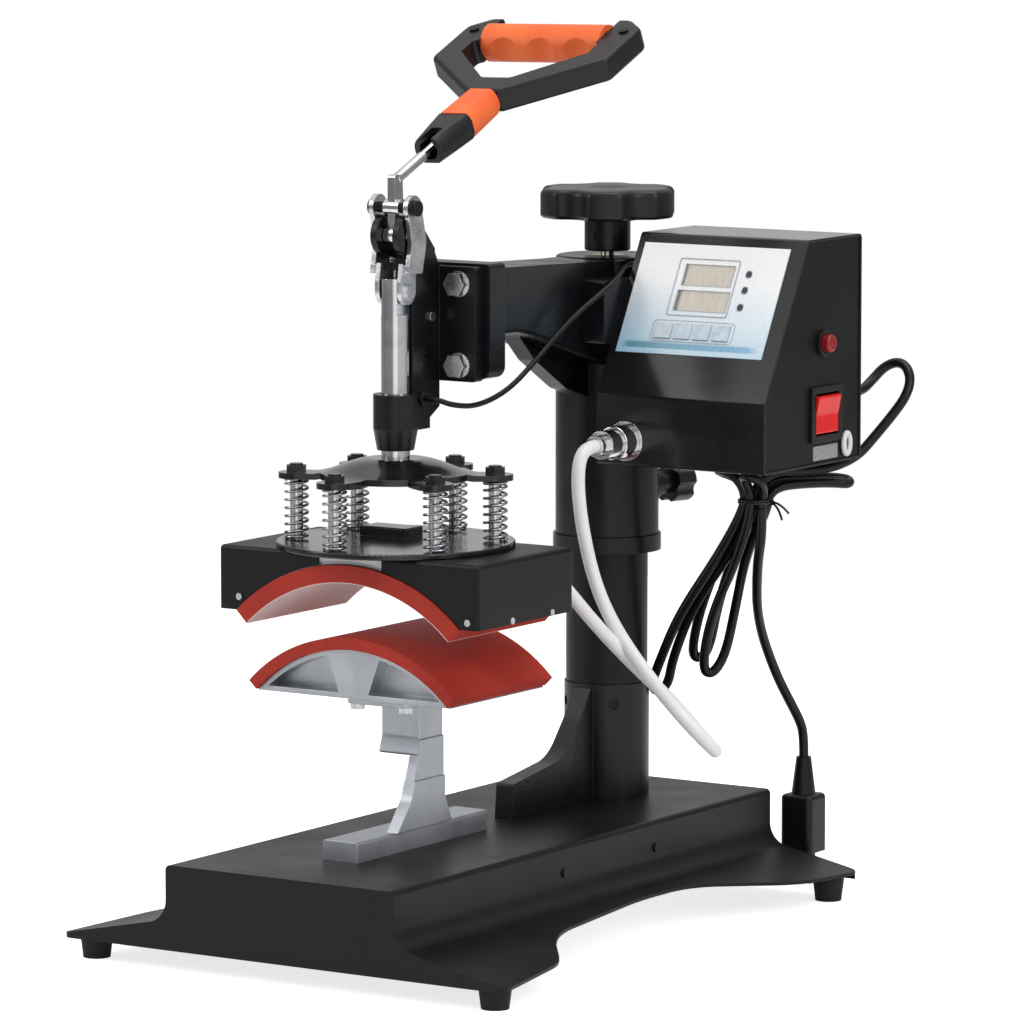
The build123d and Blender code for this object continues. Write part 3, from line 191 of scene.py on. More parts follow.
materials["chrome_steel"] = surface(
    "chrome_steel", (0.66, 0.64, 0.66), (0.80, 0.79, 0.82), (0.07, 0.16), 60, 1500, 0.00001, metallic=1.0,
    edge=0.0004).material
materials["brass_bush"] = surface(
    "brass_bush", (0.50, 0.36, 0.14), (0.66, 0.50, 0.24), (0.20, 0.35), 60, 1200, 0.00003,
    metallic=1.0).material
materials["black_rubber"] = surface(
    "black_rubber", (0.008, 0.008, 0.008), (0.013, 0.013, 0.013), (0.55, 0.75), 40, 800, 0.00008,
    edge=0.0008, specular=0.3).material
materials["orange_rubber"] = surface(
    "orange_rubber", (0.90, 0.125, 0.026), (0.98, 0.185, 0.042), (0.42, 0.58), 35, 700, 0.00007,
    edge=0.0008, specular=0.4).material
materials["black_plastic"] = surface(
    "black_plastic", (0.0055, 0.0055, 0.0060), (0.0095, 0.0095, 0.0100), (0.28, 0.42), 30, 1300, 0.00006,
    edge=0.0008, edge_colour=(0.035, 0.035, 0.037), specular=0.38).material
materials["liner_plastic"] = surface(
    "liner_plastic", (0.62, 0.61, 0.58), (0.72, 0.71, 0.68), (0.4, 0.5), 50, 900, 0.00004).material
materials["key_film"] = surface(
    "key_film", (0.50, 0.62, 0.72), (0.70, 0.78, 0.85), (0.25, 0.35), 160, 900, 0.00002, edge=0.0003).material
materials["board_green"] = surface(
    "board_green", (0.02, 0.14, 0.05), (0.03, 0.20, 0.08), (0.3, 0.5), 120, 900, 0.00003).material
materials["insulation_white"] = surface(
    "insulation_white", (0.84, 0.83, 0.80), (0.95, 0.95, 0.93), (0.8, 0.95), 260, 1400, 0.0004).material
materials["cord_black"] = surface(
    "cord_black", (0.0035, 0.0035, 0.0038), (0.0060, 0.0060, 0.0065), (0.26, 0.40), 60, 900, 0.00004,
    specular=0.3).material
materials["tie_black"] = surface(
    "tie_black", (0.005, 0.005, 0.005), (0.008, 0.008, 0.008), (0.30, 0.45), 60, 900, 0.00003).material
materials["white_cable"] = surface(
    "white_cable", (0.82, 0.82, 0.81), (0.90, 0.90, 0.89), (0.38, 0.5), 45, 1200, 0.00008, sheen=0.1).material
materials["clip_white"] = surface(
    "clip_white", (0.74, 0.74, 0.74), (0.82, 0.82, 0.82), (0.3, 0.4), 70, 900, 0.00003).material
materials["plate_silver"] = surface(
    "plate_silver", (0.42, 0.43, 0.44), (0.58, 0.59, 0.60), (0.30, 0.42), 140, 1500, 0.00002, metallic=0.8,
    stretch=(1, 1, 8)).material


def aluminium():
    """Sand-cast aluminium: grainy, a little darker and bluer in soft patches, brighter on worn edges."""
    s = Shader("cast_aluminium")
    patches = s.span(s.noise(22, 4.0, 0.6), 0.35, 0.65)
    sand = s.noise(700, 3.0, 0.6)
    colour = s.mix(patches, (0.40, 0.42, 0.46), (0.56, 0.58, 0.61))
    colour = s.mix(s.math("MULTIPLY", s.wear(0.0008, 0.80, 0.97), 0.7), colour, (0.80, 0.81, 0.82))
    s.feed(s.body.inputs["Base Color"], colour)
    s.feed(s.body.inputs["Roughness"], s.span(s.math("ADD", patches, sand), 0.3, 1.7, 0.30, 0.46))
    s.body.inputs["Metallic"].default_value = 0.85
    s.link(s.bump(sand, 0.00012, s.edge(0.0008)), s.body.inputs["Normal"])
    return s.material


UPPER_PAD_AXIS_Z = 122.7 * MM
UPPER_PAD_FACE = 100.75 * MM
UPPER_PAD_SKIN = 0.2 * MM
LOWER_PAD_CLEAR = (99.5 * MM, 99.9 * MM)


def silicone():
    """Matte red silicone; the hollow face of the upper pad carries a pale release film, its colour set brighter than
    the film's own as painted light for the little light that reaches the underside.
    """
    s = Shader("red_silicone")
    patches = s.span(s.noise(28, 4.0, 0.6), 0.35, 0.65)
    grain = s.noise(900, 2.0, 0.5)
    x, y, z = s.axes()[0], s.axes()[1], s.axes()[2]
    up = s.math("SUBTRACT", z, UPPER_PAD_AXIS_Z)
    radius = s.math("SQRT", s.math("ADD", s.math("MULTIPLY", x, x), s.math("MULTIPLY", up, up)))
    film = s.span(radius, UPPER_PAD_FACE, UPPER_PAD_FACE - UPPER_PAD_SKIN)
    film = s.math("MULTIPLY", film, s.span(radius, *LOWER_PAD_CLEAR))
    colour = s.mix(patches, (0.36, 0.022, 0.012), (0.46, 0.034, 0.018))
    # painted light: the pale film colour is brighter than the film itself, standing in for light the pad's underside
    # does not get
    colour = s.mix(film, colour, (0.88, 0.76, 0.74))
    s.feed(s.body.inputs["Base Color"], colour)
    s.feed(s.body.inputs["Roughness"], s.span(s.math("ADD", patches, grain), 0.3, 1.7, 0.50, 0.66))
    s.body.inputs["Specular IOR Level"].default_value = 0.3
    s.link(s.bump(grain, 0.00006, s.edge(0.0006)), s.body.inputs["Normal"])
    return s.material


def lit_red():
    """Red switch plastic with a little lamp light behind it."""
    s = Shader("red_plastic")
    patches = s.span(s.noise(90, 3.0, 0.5), 0.3, 0.7)
    colour = s.mix(patches, (0.66, 0.006, 0.006), (0.80, 0.012, 0.010))
    s.feed(s.body.inputs["Base Color"], colour)
    s.feed(s.body.inputs["Emission Color"], colour)
    s.body.inputs["Emission Strength"].default_value = 0.12
    s.feed(s.body.inputs["Roughness"], s.span(s.noise(500, 2.0), 0.3, 0.7, 0.14, 0.26))
    s.link(s.bump(s.noise(500, 2.0), 0.00002, s.edge(0.0006)), s.body.inputs["Normal"])
    return s.material


SLOPE_RISE = 93.5
SLOPE_RUN = 50.5
SLOPE = math.atan2(SLOPE_RISE, SLOPE_RUN)
SLOPE_FOOT = (73.0 * MM, 316.0 * MM)


WINDOWS = ((75, 109, 73, 86.5), (74, 110, 56.5, 69.5))
LAMPS_ALONG = (81.9, 71.5, 60.4)


def along_slope(s):
    """Distance up the sloping face from its lower edge, in metres."""
    axes = s.axes()
    y = s.math("MULTIPLY", s.math("SUBTRACT", axes[1], SLOPE_FOOT[0]), math.cos(SLOPE))
    z = s.math("MULTIPLY", s.math("SUBTRACT", axes[2], SLOPE_FOOT[1]), math.sin(SLOPE))
    return axes[0], s.math("ADD", y, z)


def film():
    """Printed film: white, turning pale blue to the left and the bottom, with a blue band at its foot."""
    s = Shader("panel_film")
    x, along = along_slope(s)
    down = s.span(along, 0.078, 0.030)
    left = s.span(x, 0.082, 0.044)
    sweep = s.math("MULTIPLY", s.math("ADD", s.math("MULTIPLY", left, 0.45), 0.55), down)
    cloud = s.math("ADD", sweep, s.math("MULTIPLY", s.math("SUBTRACT", s.noise(40, 2.0), 0.5), 0.12))
    colour = s.mix(s.span(cloud, 0.05, 1.1), (0.93, 0.95, 0.96), (0.30, 0.62, 0.86))
    band = s.math("MULTIPLY", s.span(along, 0.0310, 0.0316), s.span(along, 0.0362, 0.0346))
    band = s.math("MULTIPLY", band, s.math("MULTIPLY", s.span(x, 0.044, 0.050), s.span(x, 0.140, 0.132)))
    tone = s.mix(s.span(x, 0.045, 0.13), (0.06, 0.30, 0.38), (0.20, 0.46, 0.70))
    colour = s.mix(s.math("MULTIPLY", band, 0.85), colour, tone)
    s.feed(s.body.inputs["Base Color"], colour)
    s.feed(s.body.inputs["Roughness"], s.span(s.noise(600, 2.0), 0.3, 0.7, 0.24, 0.32))
    s.link(s.bump(s.noise(900, 2.0), 0.00001, s.edge(0.0003)), s.body.inputs["Normal"])
    return s.material


def lens():
    """Beige display windows with a faint upright weave and painted shade along their left edge; the small lamps on the
    right are dark.
    """
    s = Shader("lens_beige")
    x, along = along_slope(s)
    weave = s.noise(1, 2.0, 0.5, (1400, 90, 90))
    colour = s.mix(s.span(weave, 0.3, 0.7), (0.60, 0.56, 0.48), (0.74, 0.70, 0.62))
    # painted shade: the windows darken towards their left edge
    shade = s.math("MAXIMUM", s.span(x, 0.0775, 0.0755), 0.0)
    colour = s.mix(s.math("MULTIPLY", shade, 0.8), colour, (0.07, 0.07, 0.08))
    colour = s.mix(s.span(x, 0.114, 0.1141), colour, (0.05, 0.055, 0.07))
    s.feed(s.body.inputs["Base Color"], colour)
    s.feed(s.body.inputs["Roughness"], s.span(s.noise(300, 2.0), 0.3, 0.7, 0.10, 0.18))
    return s.material


materials["cast_aluminium"] = aluminium()
materials["red_silicone"] = silicone()
materials["red_plastic"] = lit_red()
materials["panel_film"] = film()
materials["lens_beige"] = lens()
materials["print_grey"] = surface(
    "print_grey", (0.34, 0.36, 0.39), (0.48, 0.50, 0.53), (0.3, 0.4), 300, 900, 0.00001).material

materials["button_red"] = surface(
    "button_red", (0.26, 0.008, 0.012), (0.33, 0.012, 0.017), (0.14, 0.24), 90, 700, 0.00002,
    edge=0.0006).material
materials["box_coat"] = surface(
    "box_coat", (0.0036, 0.0036, 0.0041), (0.0054, 0.0054, 0.0060), (0.24, 0.34), 14, 1100, 0.00002,
    edge=0.0009, edge_colour=(0.03, 0.03, 0.033), specular=0.30, coat=0.6, coat_rough=0.12).material

materials["spring_wire"] = surface(
    "spring_wire", (0.30, 0.30, 0.32), (0.46, 0.46, 0.49), (0.14, 0.26), 120, 1500, 0.00001,
    metallic=1.0).material


NUT_SEAT = 281.9 * MM


def post_metal():
    """Chrome posts under blackened nuts."""
    s = Shader("post_metal")
    height = s.axes()[2]
    nut = s.span(height, NUT_SEAT, NUT_SEAT + 0.0002)
    patches = s.span(s.noise(60, 3.0), 0.35, 0.65)
    steel = s.mix(patches, (0.60, 0.59, 0.61), (0.78, 0.77, 0.80))
    dark = s.mix(patches, (0.020, 0.020, 0.022), (0.045, 0.045, 0.048))
    s.feed(s.body.inputs["Base Color"], s.mix(nut, steel, dark))
    s.feed(s.body.inputs["Roughness"], s.span(s.math("ADD", nut, patches), 0.0, 2.0, 0.10, 0.38))
    s.feed(s.body.inputs["Metallic"], s.span(nut, 0.0, 1.0, 1.0, 0.6))
    s.link(s.bump(s.noise(900, 2.0), 0.00001, s.edge(0.0004)), s.body.inputs["Normal"])
    return s.material


materials["post_metal"] = post_metal()

NODE_LOOKS = {"guide_posts": "post_metal", "push_button": "button_red", "control_box_shell": "box_coat"}
for row in frame["record"]["subparts"]:
    mesh = frame["nodes"][row["node"]].data
    mesh.materials.clear()
    mesh.materials.append(materials[NODE_LOOKS.get(row["node"], row["material_slot"])])


# ---------------------------------------------------------------- mesh tools

def piece(name, mesh, body, slot, material=None, smooth=True):
    """A finished piece: its material (the slot's, unless another is given) and its body."""
    obj = bpy.data.objects.new(name, mesh)
    scene.collection.objects.link(obj)
    mesh.materials.clear()
    mesh.materials.append(materials[material or slot])
    for polygon in mesh.polygons:
        polygon.use_smooth = smooth
    if body:
        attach(obj, body)
    return obj


def spline_curve(name, points, radius):
    """One NURBS line through the route's control points (millimetres)."""
    curve = bpy.data.curves.new(name, "CURVE")
    curve.dimensions = "3D"
    curve.resolution_u = 14
    spline = curve.splines.new("NURBS")
    spline.points.add(len(points) - 1)
    for control, (x, y, z) in zip(spline.points, points):
        control.co = (x * MM, y * MM, z * MM, 1.0)
    spline.order_u = 3
    spline.use_endpoint_u = True
    curve.bevel_depth = radius * MM
    curve.bevel_resolution = 5
    curve.use_fill_caps = True
    return curve


def curve_line(points):
    """Points along a route's spline, in metres."""
    bare = bpy.data.objects.new("route_line", spline_curve("route_line", points, 0.0))
    mesh = bpy.data.meshes.new_from_object(bare)
    line = [tuple(v.co) for v in mesh.vertices]
    bpy.data.objects.remove(bare)
    bpy.data.meshes.remove(mesh)
    return line


def curve_mesh(name, points, radius):
    carrier = bpy.data.objects.new(name + "_carrier", spline_curve(name + "_carrier", points, radius))
    mesh = bpy.data.meshes.new_from_object(carrier)
    mesh.name = name
    bpy.data.objects.remove(carrier)
    return mesh


def sweep(bm, line, radius, sides=12, closed=False):
    """A round tube along a line of points, added to bm."""
    count = len(line)
    rings = []
    normal = None
    for i in range(count):
        before = Vector(line[i - 1] if i or closed else line[i])
        after = Vector(line[(i + 1) % count] if i < count - 1 or closed else line[i])
        tangent = (after - before).normalized()
        if normal is None:
            guess = Vector((0, 0, 1)) if abs(tangent.z) < 0.9 else Vector((1, 0, 0))
            normal = tangent.cross(guess).normalized()
        normal = (normal - tangent * normal.dot(tangent)).normalized()
        across = tangent.cross(normal)
        ring = []
        for k in range(sides):
            a = 2 * math.pi * k / sides
            spoke = math.cos(a) * normal + math.sin(a) * across
            ring.append(bm.verts.new(Vector(line[i]) + radius * spoke))
        rings.append(ring)
    last = count if closed else count - 1
    for i in range(last):
        a, b = rings[i], rings[(i + 1) % count]
        for k in range(sides):
            bm.faces.new((a[k], a[(k + 1) % sides], b[(k + 1) % sides], b[k]))
    if not closed:
        bm.faces.new(rings[0][::-1])
        bm.faces.new(rings[-1])


def to_mesh(bm, name):
    bmesh.ops.recalc_face_normals(bm, faces=bm.faces[:])
    mesh = bpy.data.meshes.new(name)
    bm.to_mesh(mesh)
    bm.free()
    return mesh


def plate(bm, outline, thickness, matrix):
    """A flat plate with that outline (metres), set by matrix, its face at z = thickness."""
    low = [bm.verts.new(matrix @ Vector((x, y, 0.0))) for x, y in outline]
    high = [bm.verts.new(matrix @ Vector((x, y, thickness))) for x, y in outline]
    count = len(outline)
    bm.faces.new(low[::-1])
    bm.faces.new(high)
    for i in range(count):
        j = (i + 1) % count
        bm.faces.new((low[i], low[j], high[j], high[i]))


def rounded(x0, x1, y0, y1, radius, steps=6):
    """Rounded rectangle outline."""
    points = []
    for cx, cy, start in ((x1 - radius, y1 - radius, 0), (x0 + radius, y1 - radius, 90),
                          (x0 + radius, y0 + radius, 180), (x1 - radius, y0 + radius, 270)):
        for i in range(steps + 1):
            a = math.radians(start + 90 * i / steps)
            points.append((cx + radius * math.cos(a), cy + radius * math.sin(a)))
    return points


def frame_plate(bm, outer, inner, thickness, matrix):
    """A flat frame between two outlines that have the same number of points."""
    count = len(outer)
    rows = []
    for outline, z in ((outer, 0.0), (outer, thickness), (inner, thickness), (inner, 0.0)):
        rows.append([bm.verts.new(matrix @ Vector((x, y, z))) for x, y in outline])
    for a in range(4):
        b = (a + 1) % 4
        for i in range(count):
            j = (i + 1) % count
            bm.faces.new((rows[a][i], rows[a][j], rows[b][j], rows[b][i]))


def slope_matrix(out):
    """Puts a drawing of (x, along) on the sloping face, out millimetres above it."""
    up = Vector((0, math.cos(SLOPE), math.sin(SLOPE)))
    normal = Vector((0, -math.sin(SLOPE), math.cos(SLOPE)))
    origin = Vector((0, *SLOPE_FOOT)) + normal * out * MM
    matrix = Matrix.Identity(4)
    matrix.col[0][:3] = Vector((1, 0, 0))
    matrix.col[1][:3] = up
    matrix.col[2][:3] = normal
    matrix.col[3][:3] = origin
    return matrix


# ---------------------------------------------------------------- cords

HEATER_ROUTE = [
    (58, 37, 289), (58, 27, 289), (57.5, 20, 281), (58, 19, 262), (62, 19, 238), (69, 19, 213), (78, 20, 193),
    (91, 21, 174), (106, 23, 156), (120, 26, 140), (133, 31, 125), (140, 40, 114), (135, 49, 112),
    (123, 47, 124), (111, 42, 139), (99, 34, 153), (89, 24, 167), (82, 12, 181), (76, 0, 195), (70, -9, 208),
    (63, -17, 220), (60, -28, 226), (60, -42, 226)]
SENSOR_ROUTE = [
    (8, -68, 324), (16, -68, 324), (22, -60, 320), (26, -40, 318), (29, -12, 325), (30, 14, 339),
    (30, 40, 354), (32.5, 60, 366), (37, 74, 374.5), (39.3, 86, 381), (38, 98, 386.5), (33.5, 110, 390),
    (33, 122, 390.5), (37, 130, 388)]
LEAD_ROUTE = [
    (114.7, 135.1, 246), (113.5, 137.5, 229), (106, 146, 214), (98, 158, 197), (90.5, 171, 180),
    (85, 185, 164), (82.5, 198, 148), (82.5, 210, 131), (84, 222, 115), (86, 231, 102), (86, 236, 92),
    (86, 236, 79)]
MAINS_ROUTE = [
    (138, 203, 311), (138, 214, 311), (140, 223, 317), (145, 229, 325), (153, 231, 328.5), (161, 229, 326),
    (166, 225, 318), (165, 220, 308), (159, 214, 297), (152, 206, 285), (145, 197, 273), (136, 180, 267),
    (126, 162, 266.5), (117, 149, 268)]
HANK_STATIONS = [(107, 139.5, 236), (87, 148, 216), (62, 160, 177), (47, 168, 143), (40, 171.5, 128)]
HANK_ACROSS = Vector((0.839, 0.545, 0.0))
HANK_FRONT = Vector((0.482, -0.743, -0.465))


def hank_point(station, across, front):
    """A point in the hank: the place along its middle line, and the distance to the right and the front."""
    index = min(int(station), len(HANK_STATIONS) - 2)
    share = station - index
    middle = Vector(HANK_STATIONS[index]).lerp(Vector(HANK_STATIONS[index + 1]), share)
    return tuple(middle + HANK_ACROSS * across + HANK_FRONT * front)


def hank_route():
    """The surplus of the mains cord: three folds below the tie and three above it."""
    route = [(109, 138, 260), (109, 138, 246)]
    route += [hank_point(*p) for p in (
        (1.0, -1.5, 0.5), (2.0, -9.5, -3.0), (3.0, -12.5, -3.5), (4.1, -10.5, -3.0),
        (4.4, -16.0, -1.5), (4.0, -21.5, 0.0), (3.0, -21.0, 1.0), (2.0, -17.0, 2.5), (1.0, -8.5, 3.0))]
    route += [(103.6, 134.5, 246), (103.2, 134.2, 257), (97, 131, 266), (87, 131, 268), (83, 138, 266),
              (89, 144, 263), (99, 143, 259), (103.3, 140.9, 252), (103.3, 140.9, 244)]
    route += [hank_point(*p) for p in (
        (1.0, -4.5, -6.0), (2.0, -3.0, -9.5), (2.9, -1.5, -10.0), (3.35, 3.5, -11.0),
        (3.0, 10.0, -11.0), (2.0, 7.0, -10.0), (1.0, 2.5, -6.5))]
    route += [(108.7, 144.4, 245), (108.5, 146.5, 254), (111, 154, 261), (120.5, 165.5, 261.5),
              (132, 186, 261), (140, 196, 259), (144, 190, 257), (137, 180, 258.5), (127, 163, 259), (118, 148.5, 258),
              (114.6, 142.5, 252), (114.4, 141.5, 244)]
    route += [hank_point(*p) for p in (
        (1.0, 8.0, 0.5), (2.0, 16.5, 1.0), (2.8, 18.0, 2.5), (3.3, 13.0, 6.0),
        (3.0, 5.0, 7.0), (2.0, 2.0, 5.5), (1.0, 2.5, 6.0))]
    route += [(109.3, 131.6, 244), (109.3, 131, 256), (108.5, 123, 266), (115, 117, 267.5), (121.5, 123, 264),
              (117.5, 132.5, 257), (114.7, 135.1, 250), (114.7, 135.1, 246)]
    return route


HEATER_RADIUS = 4.0
MAINS_RADIUS = 3.0
SENSOR_RADIUS = 1.6

heater = piece("heater_cord", curve_mesh("heater_cord", HEATER_ROUTE, HEATER_RADIUS), None, "white_cable")
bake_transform(heater)
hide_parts("heater_cable")
lead = piece("plug_lead", curve_mesh("plug_lead", LEAD_ROUTE, MAINS_RADIUS), None, "cord_black")
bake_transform(lead)
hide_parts("mains_lead")


def cord_object(name, route, radius, slot, body):
    obj = bpy.data.objects.new(name, spline_curve(name, route, radius))
    scene.collection.objects.link(obj)
    obj.data.materials.append(materials[slot])
    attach(obj, body)
    return obj


sensor = cord_object("sensor_cord", SENSOR_ROUTE, SENSOR_RADIUS, "cord_black", "swing_head")
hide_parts("sensor_cable")
mains = cord_object("mains_cord_and_hank", MAINS_ROUTE + hank_route(), MAINS_RADIUS, "cord_black",
                    "swing_head")
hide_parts("mains_cord", "mains_hank")


TIE_X = 109
TIE_Y = 138
TIE_REACH = 10.3
TIE_STEPS = 72
TAIL_STEPS = 12


def wire_tie():
    """A wire tie round the neck of the hank: two turns and two loose ends."""
    bm = bmesh.new()
    turns = []
    for i in range(TIE_STEPS + 1):
        a = math.radians(10 * i)
        lift = 248.2 + 2.6 * i / TIE_STEPS
        turns.append((MM * (TIE_X + TIE_REACH * math.cos(a)), MM * (TIE_Y + TIE_REACH * math.sin(a)),
                      MM * lift))
    sweep(bm, turns, 0.8 * MM, 8)
    for side in (-1, 1):
        tail = []
        for i in range(TAIL_STEPS + 1):
            t = i / TAIL_STEPS
            reach = 10.6 + 10 * t
            tail.append((MM * (TIE_X + reach), MM * (TIE_Y + side * (0.6 + 3.5 * t * t)),
                         MM * (249.5 + side * 1.5 * t - 8 * t * t)))
        sweep(bm, tail, 0.7 * MM, 8)
    tie = piece("wire_tie", to_mesh(bm, "wire_tie"), "swing_head", "tie_black")
    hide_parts("cord_ties")
    return tie


tie = wire_tie()

curve_line(HEATER_ROUTE)
curve_line(LEAD_ROUTE)


# ---------------------------------------------------------------- press springs

SPRING_CIRCLE = 58.0
SPRING_COUNT = 6
SPRING_TURN = 27.0
SPRING_BOTTOM = 243.0
SPRING_LENGTH = 35.5
SPRING_MEAN = 6.5
WIRE = 0.85
TURNS = 8.2
CLOSED_TURNS = 0.8
STEPS_PER_TURN = 22
HEAD_CENTRE_Y = -87.0


def press_springs():
    """Six wire coils with closed ends, one round each guide post."""
    bm = bmesh.new()
    closed_pitch = 2 * WIRE
    free = SPRING_LENGTH - 2 * WIRE - 2 * CLOSED_TURNS * closed_pitch
    open_turns = TURNS - 2 * CLOSED_TURNS
    pitch = free / open_turns
    for post in range(SPRING_COUNT):
        angle = math.radians(SPRING_TURN + 360 / SPRING_COUNT * post)
        x = SPRING_CIRCLE * math.cos(angle)
        y = HEAD_CENTRE_Y + SPRING_CIRCLE * math.sin(angle)
        line = []
        for i in range(int(TURNS * STEPS_PER_TURN) + 1):
            t = i / STEPS_PER_TURN
            rise = closed_pitch * min(t, CLOSED_TURNS)
            rise += pitch * min(max(t - CLOSED_TURNS, 0), open_turns)
            rise += closed_pitch * max(t - TURNS + CLOSED_TURNS, 0)
            a = 2 * math.pi * t + post
            line.append((MM * (x + SPRING_MEAN * math.cos(a)), MM * (y + SPRING_MEAN * math.sin(a)),
                         MM * (SPRING_BOTTOM + WIRE + rise)))
        sweep(bm, line, WIRE * MM, 8)
    springs = piece("press_spring_coils", to_mesh(bm, "press_spring_coils"), "heat_head", "chrome_steel",
                    "spring_wire")
    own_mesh(springs)
    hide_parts("press_springs")


press_springs()


# ---------------------------------------------------------------- control box details

def panel_details():
    """Thin outlines round the display, its two windows, the three lamps and the keys."""
    bm = bmesh.new()
    place = slope_matrix(0.8)
    outer = rounded(70 * MM, 112 * MM, 53 * MM, 90.5 * MM, 1.5 * MM)
    inner = rounded(70.6 * MM, 111.4 * MM, 53.6 * MM, 89.9 * MM, 1.2 * MM)
    frame_plate(bm, outer, inner, 0.35 * MM, place)
    for x0, x1, y0, y1 in WINDOWS:
        outer = rounded((x0 - 0.35) * MM, (x1 + 0.35) * MM, (y0 - 0.35) * MM, (y1 + 0.35) * MM, 0.5 * MM)
        inner = rounded(x0 * MM, x1 * MM, y0 * MM, y1 * MM, 0.3 * MM)
        frame_plate(bm, outer, inner, 0.25 * MM, place)
    for along in LAMPS_ALONG:
        outer = rounded(117.6 * MM, 121.4 * MM, (along - 2.5) * MM, (along + 2.5) * MM, 0.9 * MM)
        inner = rounded(117.9 * MM, 121.1 * MM, (along - 2.2) * MM, (along + 2.2) * MM, 0.6 * MM)
        frame_plate(bm, outer, inner, 0.15 * MM, place)
    outer = rounded(63 * MM, 120 * MM, 36 * MM, 50 * MM, 3 * MM)
    inner = rounded(63.5 * MM, 119.5 * MM, 36.5 * MM, 49.5 * MM, 2.6 * MM)
    frame_plate(bm, outer, inner, 0.15 * MM, place)
    piece("panel_print", to_mesh(bm, "panel_print"), "swing_head", "panel_film", "print_grey", smooth=False)


panel_details()


def side_details():
    """A bare silver plate under the rocker and the white cable clip at the panel's lower rear corner."""
    bm = bmesh.new()
    place = Matrix.Translation((152.3 * MM, 0, 0)) @ Matrix(
        ((0, 0, 1, 0), (1, 0, 0, 0), (0, 1, 0, 0), (0, 0, 0, 1)))
    plate(bm, rounded(131 * MM, 160 * MM, 277 * MM, 285.5 * MM, 0.8 * MM), 0.3 * MM, place)
    piece("bare_plate", to_mesh(bm, "bare_plate"), "swing_head", "zinc_steel", "plate_silver", smooth=False)
    bm = bmesh.new()
    ring = []
    for i in range(40):
        a = 2 * math.pi * i / 40
        ring.append((154.0 * MM, (168.5 + 3.6 * math.cos(a)) * MM, (284.5 + 6.2 * math.sin(a)) * MM))
    sweep(bm, ring, 1.7 * MM, 12, closed=True)
    piece("cable_clip", to_mesh(bm, "cable_clip"), "swing_head", "liner_plastic", "clip_white")


side_details()


# ---------------------------------------------------------------- stage, lights and camera

def combine(tree, operation, a, b):
    """One math node on two sockets or numbers."""
    node = tree.nodes.new("ShaderNodeMath")
    node.operation = operation
    for socket, value in zip(node.inputs, (a, b)):
        if isinstance(value, bpy.types.NodeSocket):
            tree.links.new(value, socket)
        else:
            socket.default_value = value
    return node.outputs[0]


def ray_level(tree, seen, mirrored, other):
    """One strength for camera and transmission rays, one for glossy rays and one for the rest."""
    path = tree.nodes.new("ShaderNodeLightPath").outputs
    view = combine(tree, "MAXIMUM", path["Is Camera Ray"], path["Is Transmission Ray"])
    glossy = combine(tree, "MULTIPLY", path["Is Glossy Ray"], combine(tree, "SUBTRACT", 1.0, view))
    rest = combine(tree, "SUBTRACT", combine(tree, "SUBTRACT", 1.0, view), glossy)
    seen_part = combine(tree, "MULTIPLY", view, seen)
    total = combine(tree, "ADD", seen_part, combine(tree, "MULTIPLY", glossy, mirrored))
    return combine(tree, "ADD", total, combine(tree, "MULTIPLY", rest, other))


FLOOR_HALF = 1.4
FLOOR_GLOW = 0.75
FLOOR_MIRRORED = 0.35
ROOM_DIFFUSE = 0.55


def white_floor():
    mesh = bpy.data.meshes.new("floor")
    half = FLOOR_HALF
    corners = [(-half, -half, 0), (half, -half, 0), (half, half, 0), (-half, half, 0)]
    mesh.from_pydata(corners, [], [(0, 1, 2, 3)])
    obj = bpy.data.objects.new("floor", mesh)
    scene.collection.objects.link(obj)
    material = bpy.data.materials.new("floor_white")
    material.use_nodes = True
    tree = material.node_tree
    tree.nodes.clear()
    output = tree.nodes.new("ShaderNodeOutputMaterial")
    diffuse = tree.nodes.new("ShaderNodeBsdfDiffuse")
    diffuse.inputs["Color"].default_value = (0.82, 0.82, 0.82, 1)
    glow = tree.nodes.new("ShaderNodeEmission")
    tree.links.new(ray_level(tree, 1.0, FLOOR_MIRRORED, 0.0), glow.inputs["Strength"])
    glow.inputs["Color"].default_value = (FLOOR_GLOW, FLOOR_GLOW, FLOOR_GLOW, 1)
    add = tree.nodes.new("ShaderNodeAddShader")
    tree.links.new(diffuse.outputs[0], add.inputs[0])
    tree.links.new(glow.outputs[0], add.inputs[1])
    tree.links.new(add.outputs[0], output.inputs[0])
    mesh.materials.append(material)


ROOM_WALLS = [(-180, 0.65), (-140, 0.30), (-100, 0.20), (-24, 0.26), (-8, 1.0), (12, 1.0), (22, 0.55),
              (80, 0.50), (112, 0.22), (150, 0.50), (180, 0.65)]
ROOM_FRONT = math.radians(-57)


def room_light(tree):
    """What a mirror sees: pale panels in front, greyer walls at the sides and a white ceiling."""
    place = tree.nodes.new("ShaderNodeSeparateXYZ")
    tree.links.new(tree.nodes.new("ShaderNodeTexCoord").outputs["Generated"], place.inputs[0])
    bearing = combine(tree, "ARCTAN2", place.outputs["Y"], place.outputs["X"])
    bearing = combine(tree, "SUBTRACT", bearing, ROOM_FRONT)
    bearing = combine(tree, "FLOORED_MODULO", combine(tree, "ADD", bearing, math.pi), 2 * math.pi)
    ramp = tree.nodes.new("ShaderNodeValToRGB")
    tree.links.new(combine(tree, "DIVIDE", bearing, 2 * math.pi), ramp.inputs[0])
    stops = ramp.color_ramp.elements
    while len(stops) < len(ROOM_WALLS):
        stops.new(0.5)
    for stop, (angle, level) in zip(stops, ROOM_WALLS):
        stop.position = (angle + 180) / 360
        stop.color = (level, level, level, 1)
    ceiling = tree.nodes.new("ShaderNodeMapRange")
    tree.links.new(place.outputs["Z"], ceiling.inputs["Value"])
    ceiling.inputs["From Min"].default_value = 0.40
    ceiling.inputs["From Max"].default_value = 0.75
    return combine(tree, "MAXIMUM", ramp.outputs[0], ceiling.outputs[0])


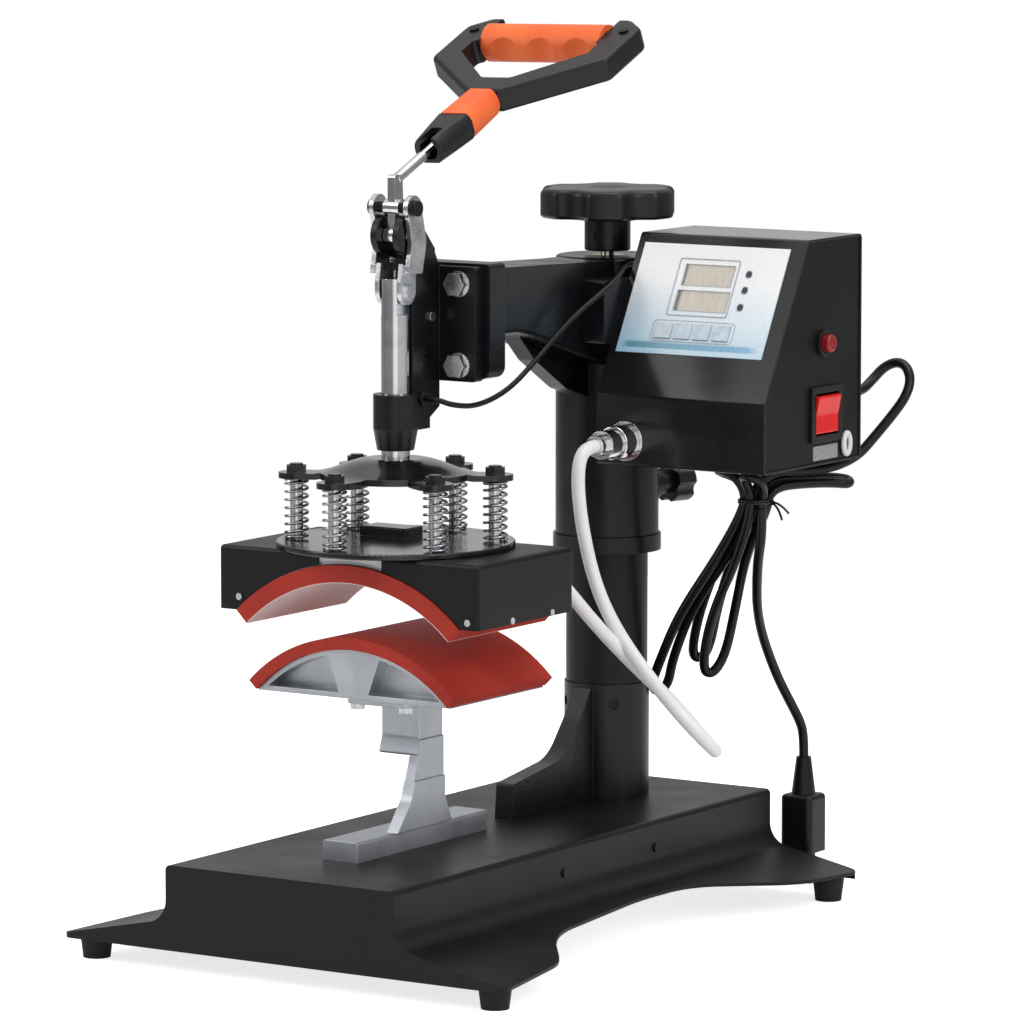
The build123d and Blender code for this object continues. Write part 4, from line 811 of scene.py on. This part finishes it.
def studio_world():
    world = bpy.data.worlds.new("studio")
    scene.world = world
    world.use_nodes = True
    tree = world.node_tree
    tree.nodes.clear()
    output = tree.nodes.new("ShaderNodeOutputWorld")
    background = tree.nodes.new("ShaderNodeBackground")
    tree.links.new(ray_level(tree, 1.0, room_light(tree), ROOM_DIFFUSE), background.inputs["Strength"])
    background.inputs["Color"].default_value = (1, 1, 1, 1)
    tree.links.new(background.outputs[0], output.inputs[0])


def softbox(name, place, target, size, power):
    lamp = bpy.data.lights.new(name, "AREA")
    lamp.shape = "RECTANGLE"
    lamp.size, lamp.size_y = size
    lamp.energy = power
    obj = bpy.data.objects.new(name, lamp)
    scene.collection.objects.link(obj)
    obj.location = place
    obj.rotation_euler = (Vector(target) - Vector(place)).to_track_quat("-Z", "Y").to_euler()


white_floor()
studio_world()
middle = (0.0, 0.0, 0.26)
softbox("left_softbox", (-1.5, -1.3, 1.3), middle, (0.8, 1.3), 13)
softbox("right_softbox", (1.8, -0.3, 1.2), middle, (0.7, 1.2), 11)
softbox("top_softbox", (0.2, 0.1, 2.2), middle, (1.2, 1.2), 14)

CAMERA_TURN = math.radians(32.97)
CAMERA_TILT = math.radians(7.07)
CAMERA_DISTANCE = 3.72575
AIM_ACROSS = 0.02006
AIM_UP = 0.25003
FOCAL_PIXELS = 6297.62
FRAME_PIXELS = 1024
SENSOR = 36.0

right = Vector((math.cos(CAMERA_TURN), math.sin(CAMERA_TURN), 0))
back = Vector((math.sin(CAMERA_TURN) * math.cos(CAMERA_TILT), -math.cos(CAMERA_TURN) * math.cos(CAMERA_TILT),
               math.sin(CAMERA_TILT)))
above = back.cross(right)
lens_data = bpy.data.cameras.new("camera")
lens_data.sensor_width = SENSOR
lens_data.lens = FOCAL_PIXELS / FRAME_PIXELS * SENSOR
lens_data.clip_end = 50
camera = bpy.data.objects.new("camera", lens_data)
scene.collection.objects.link(camera)
turn = Matrix((right, above, back)).transposed().to_4x4()
eye = right * AIM_ACROSS + Vector((0, 0, AIM_UP)) + back * CAMERA_DISTANCE
camera.matrix_world = Matrix.Translation(eye) @ turn
scene.camera = camera
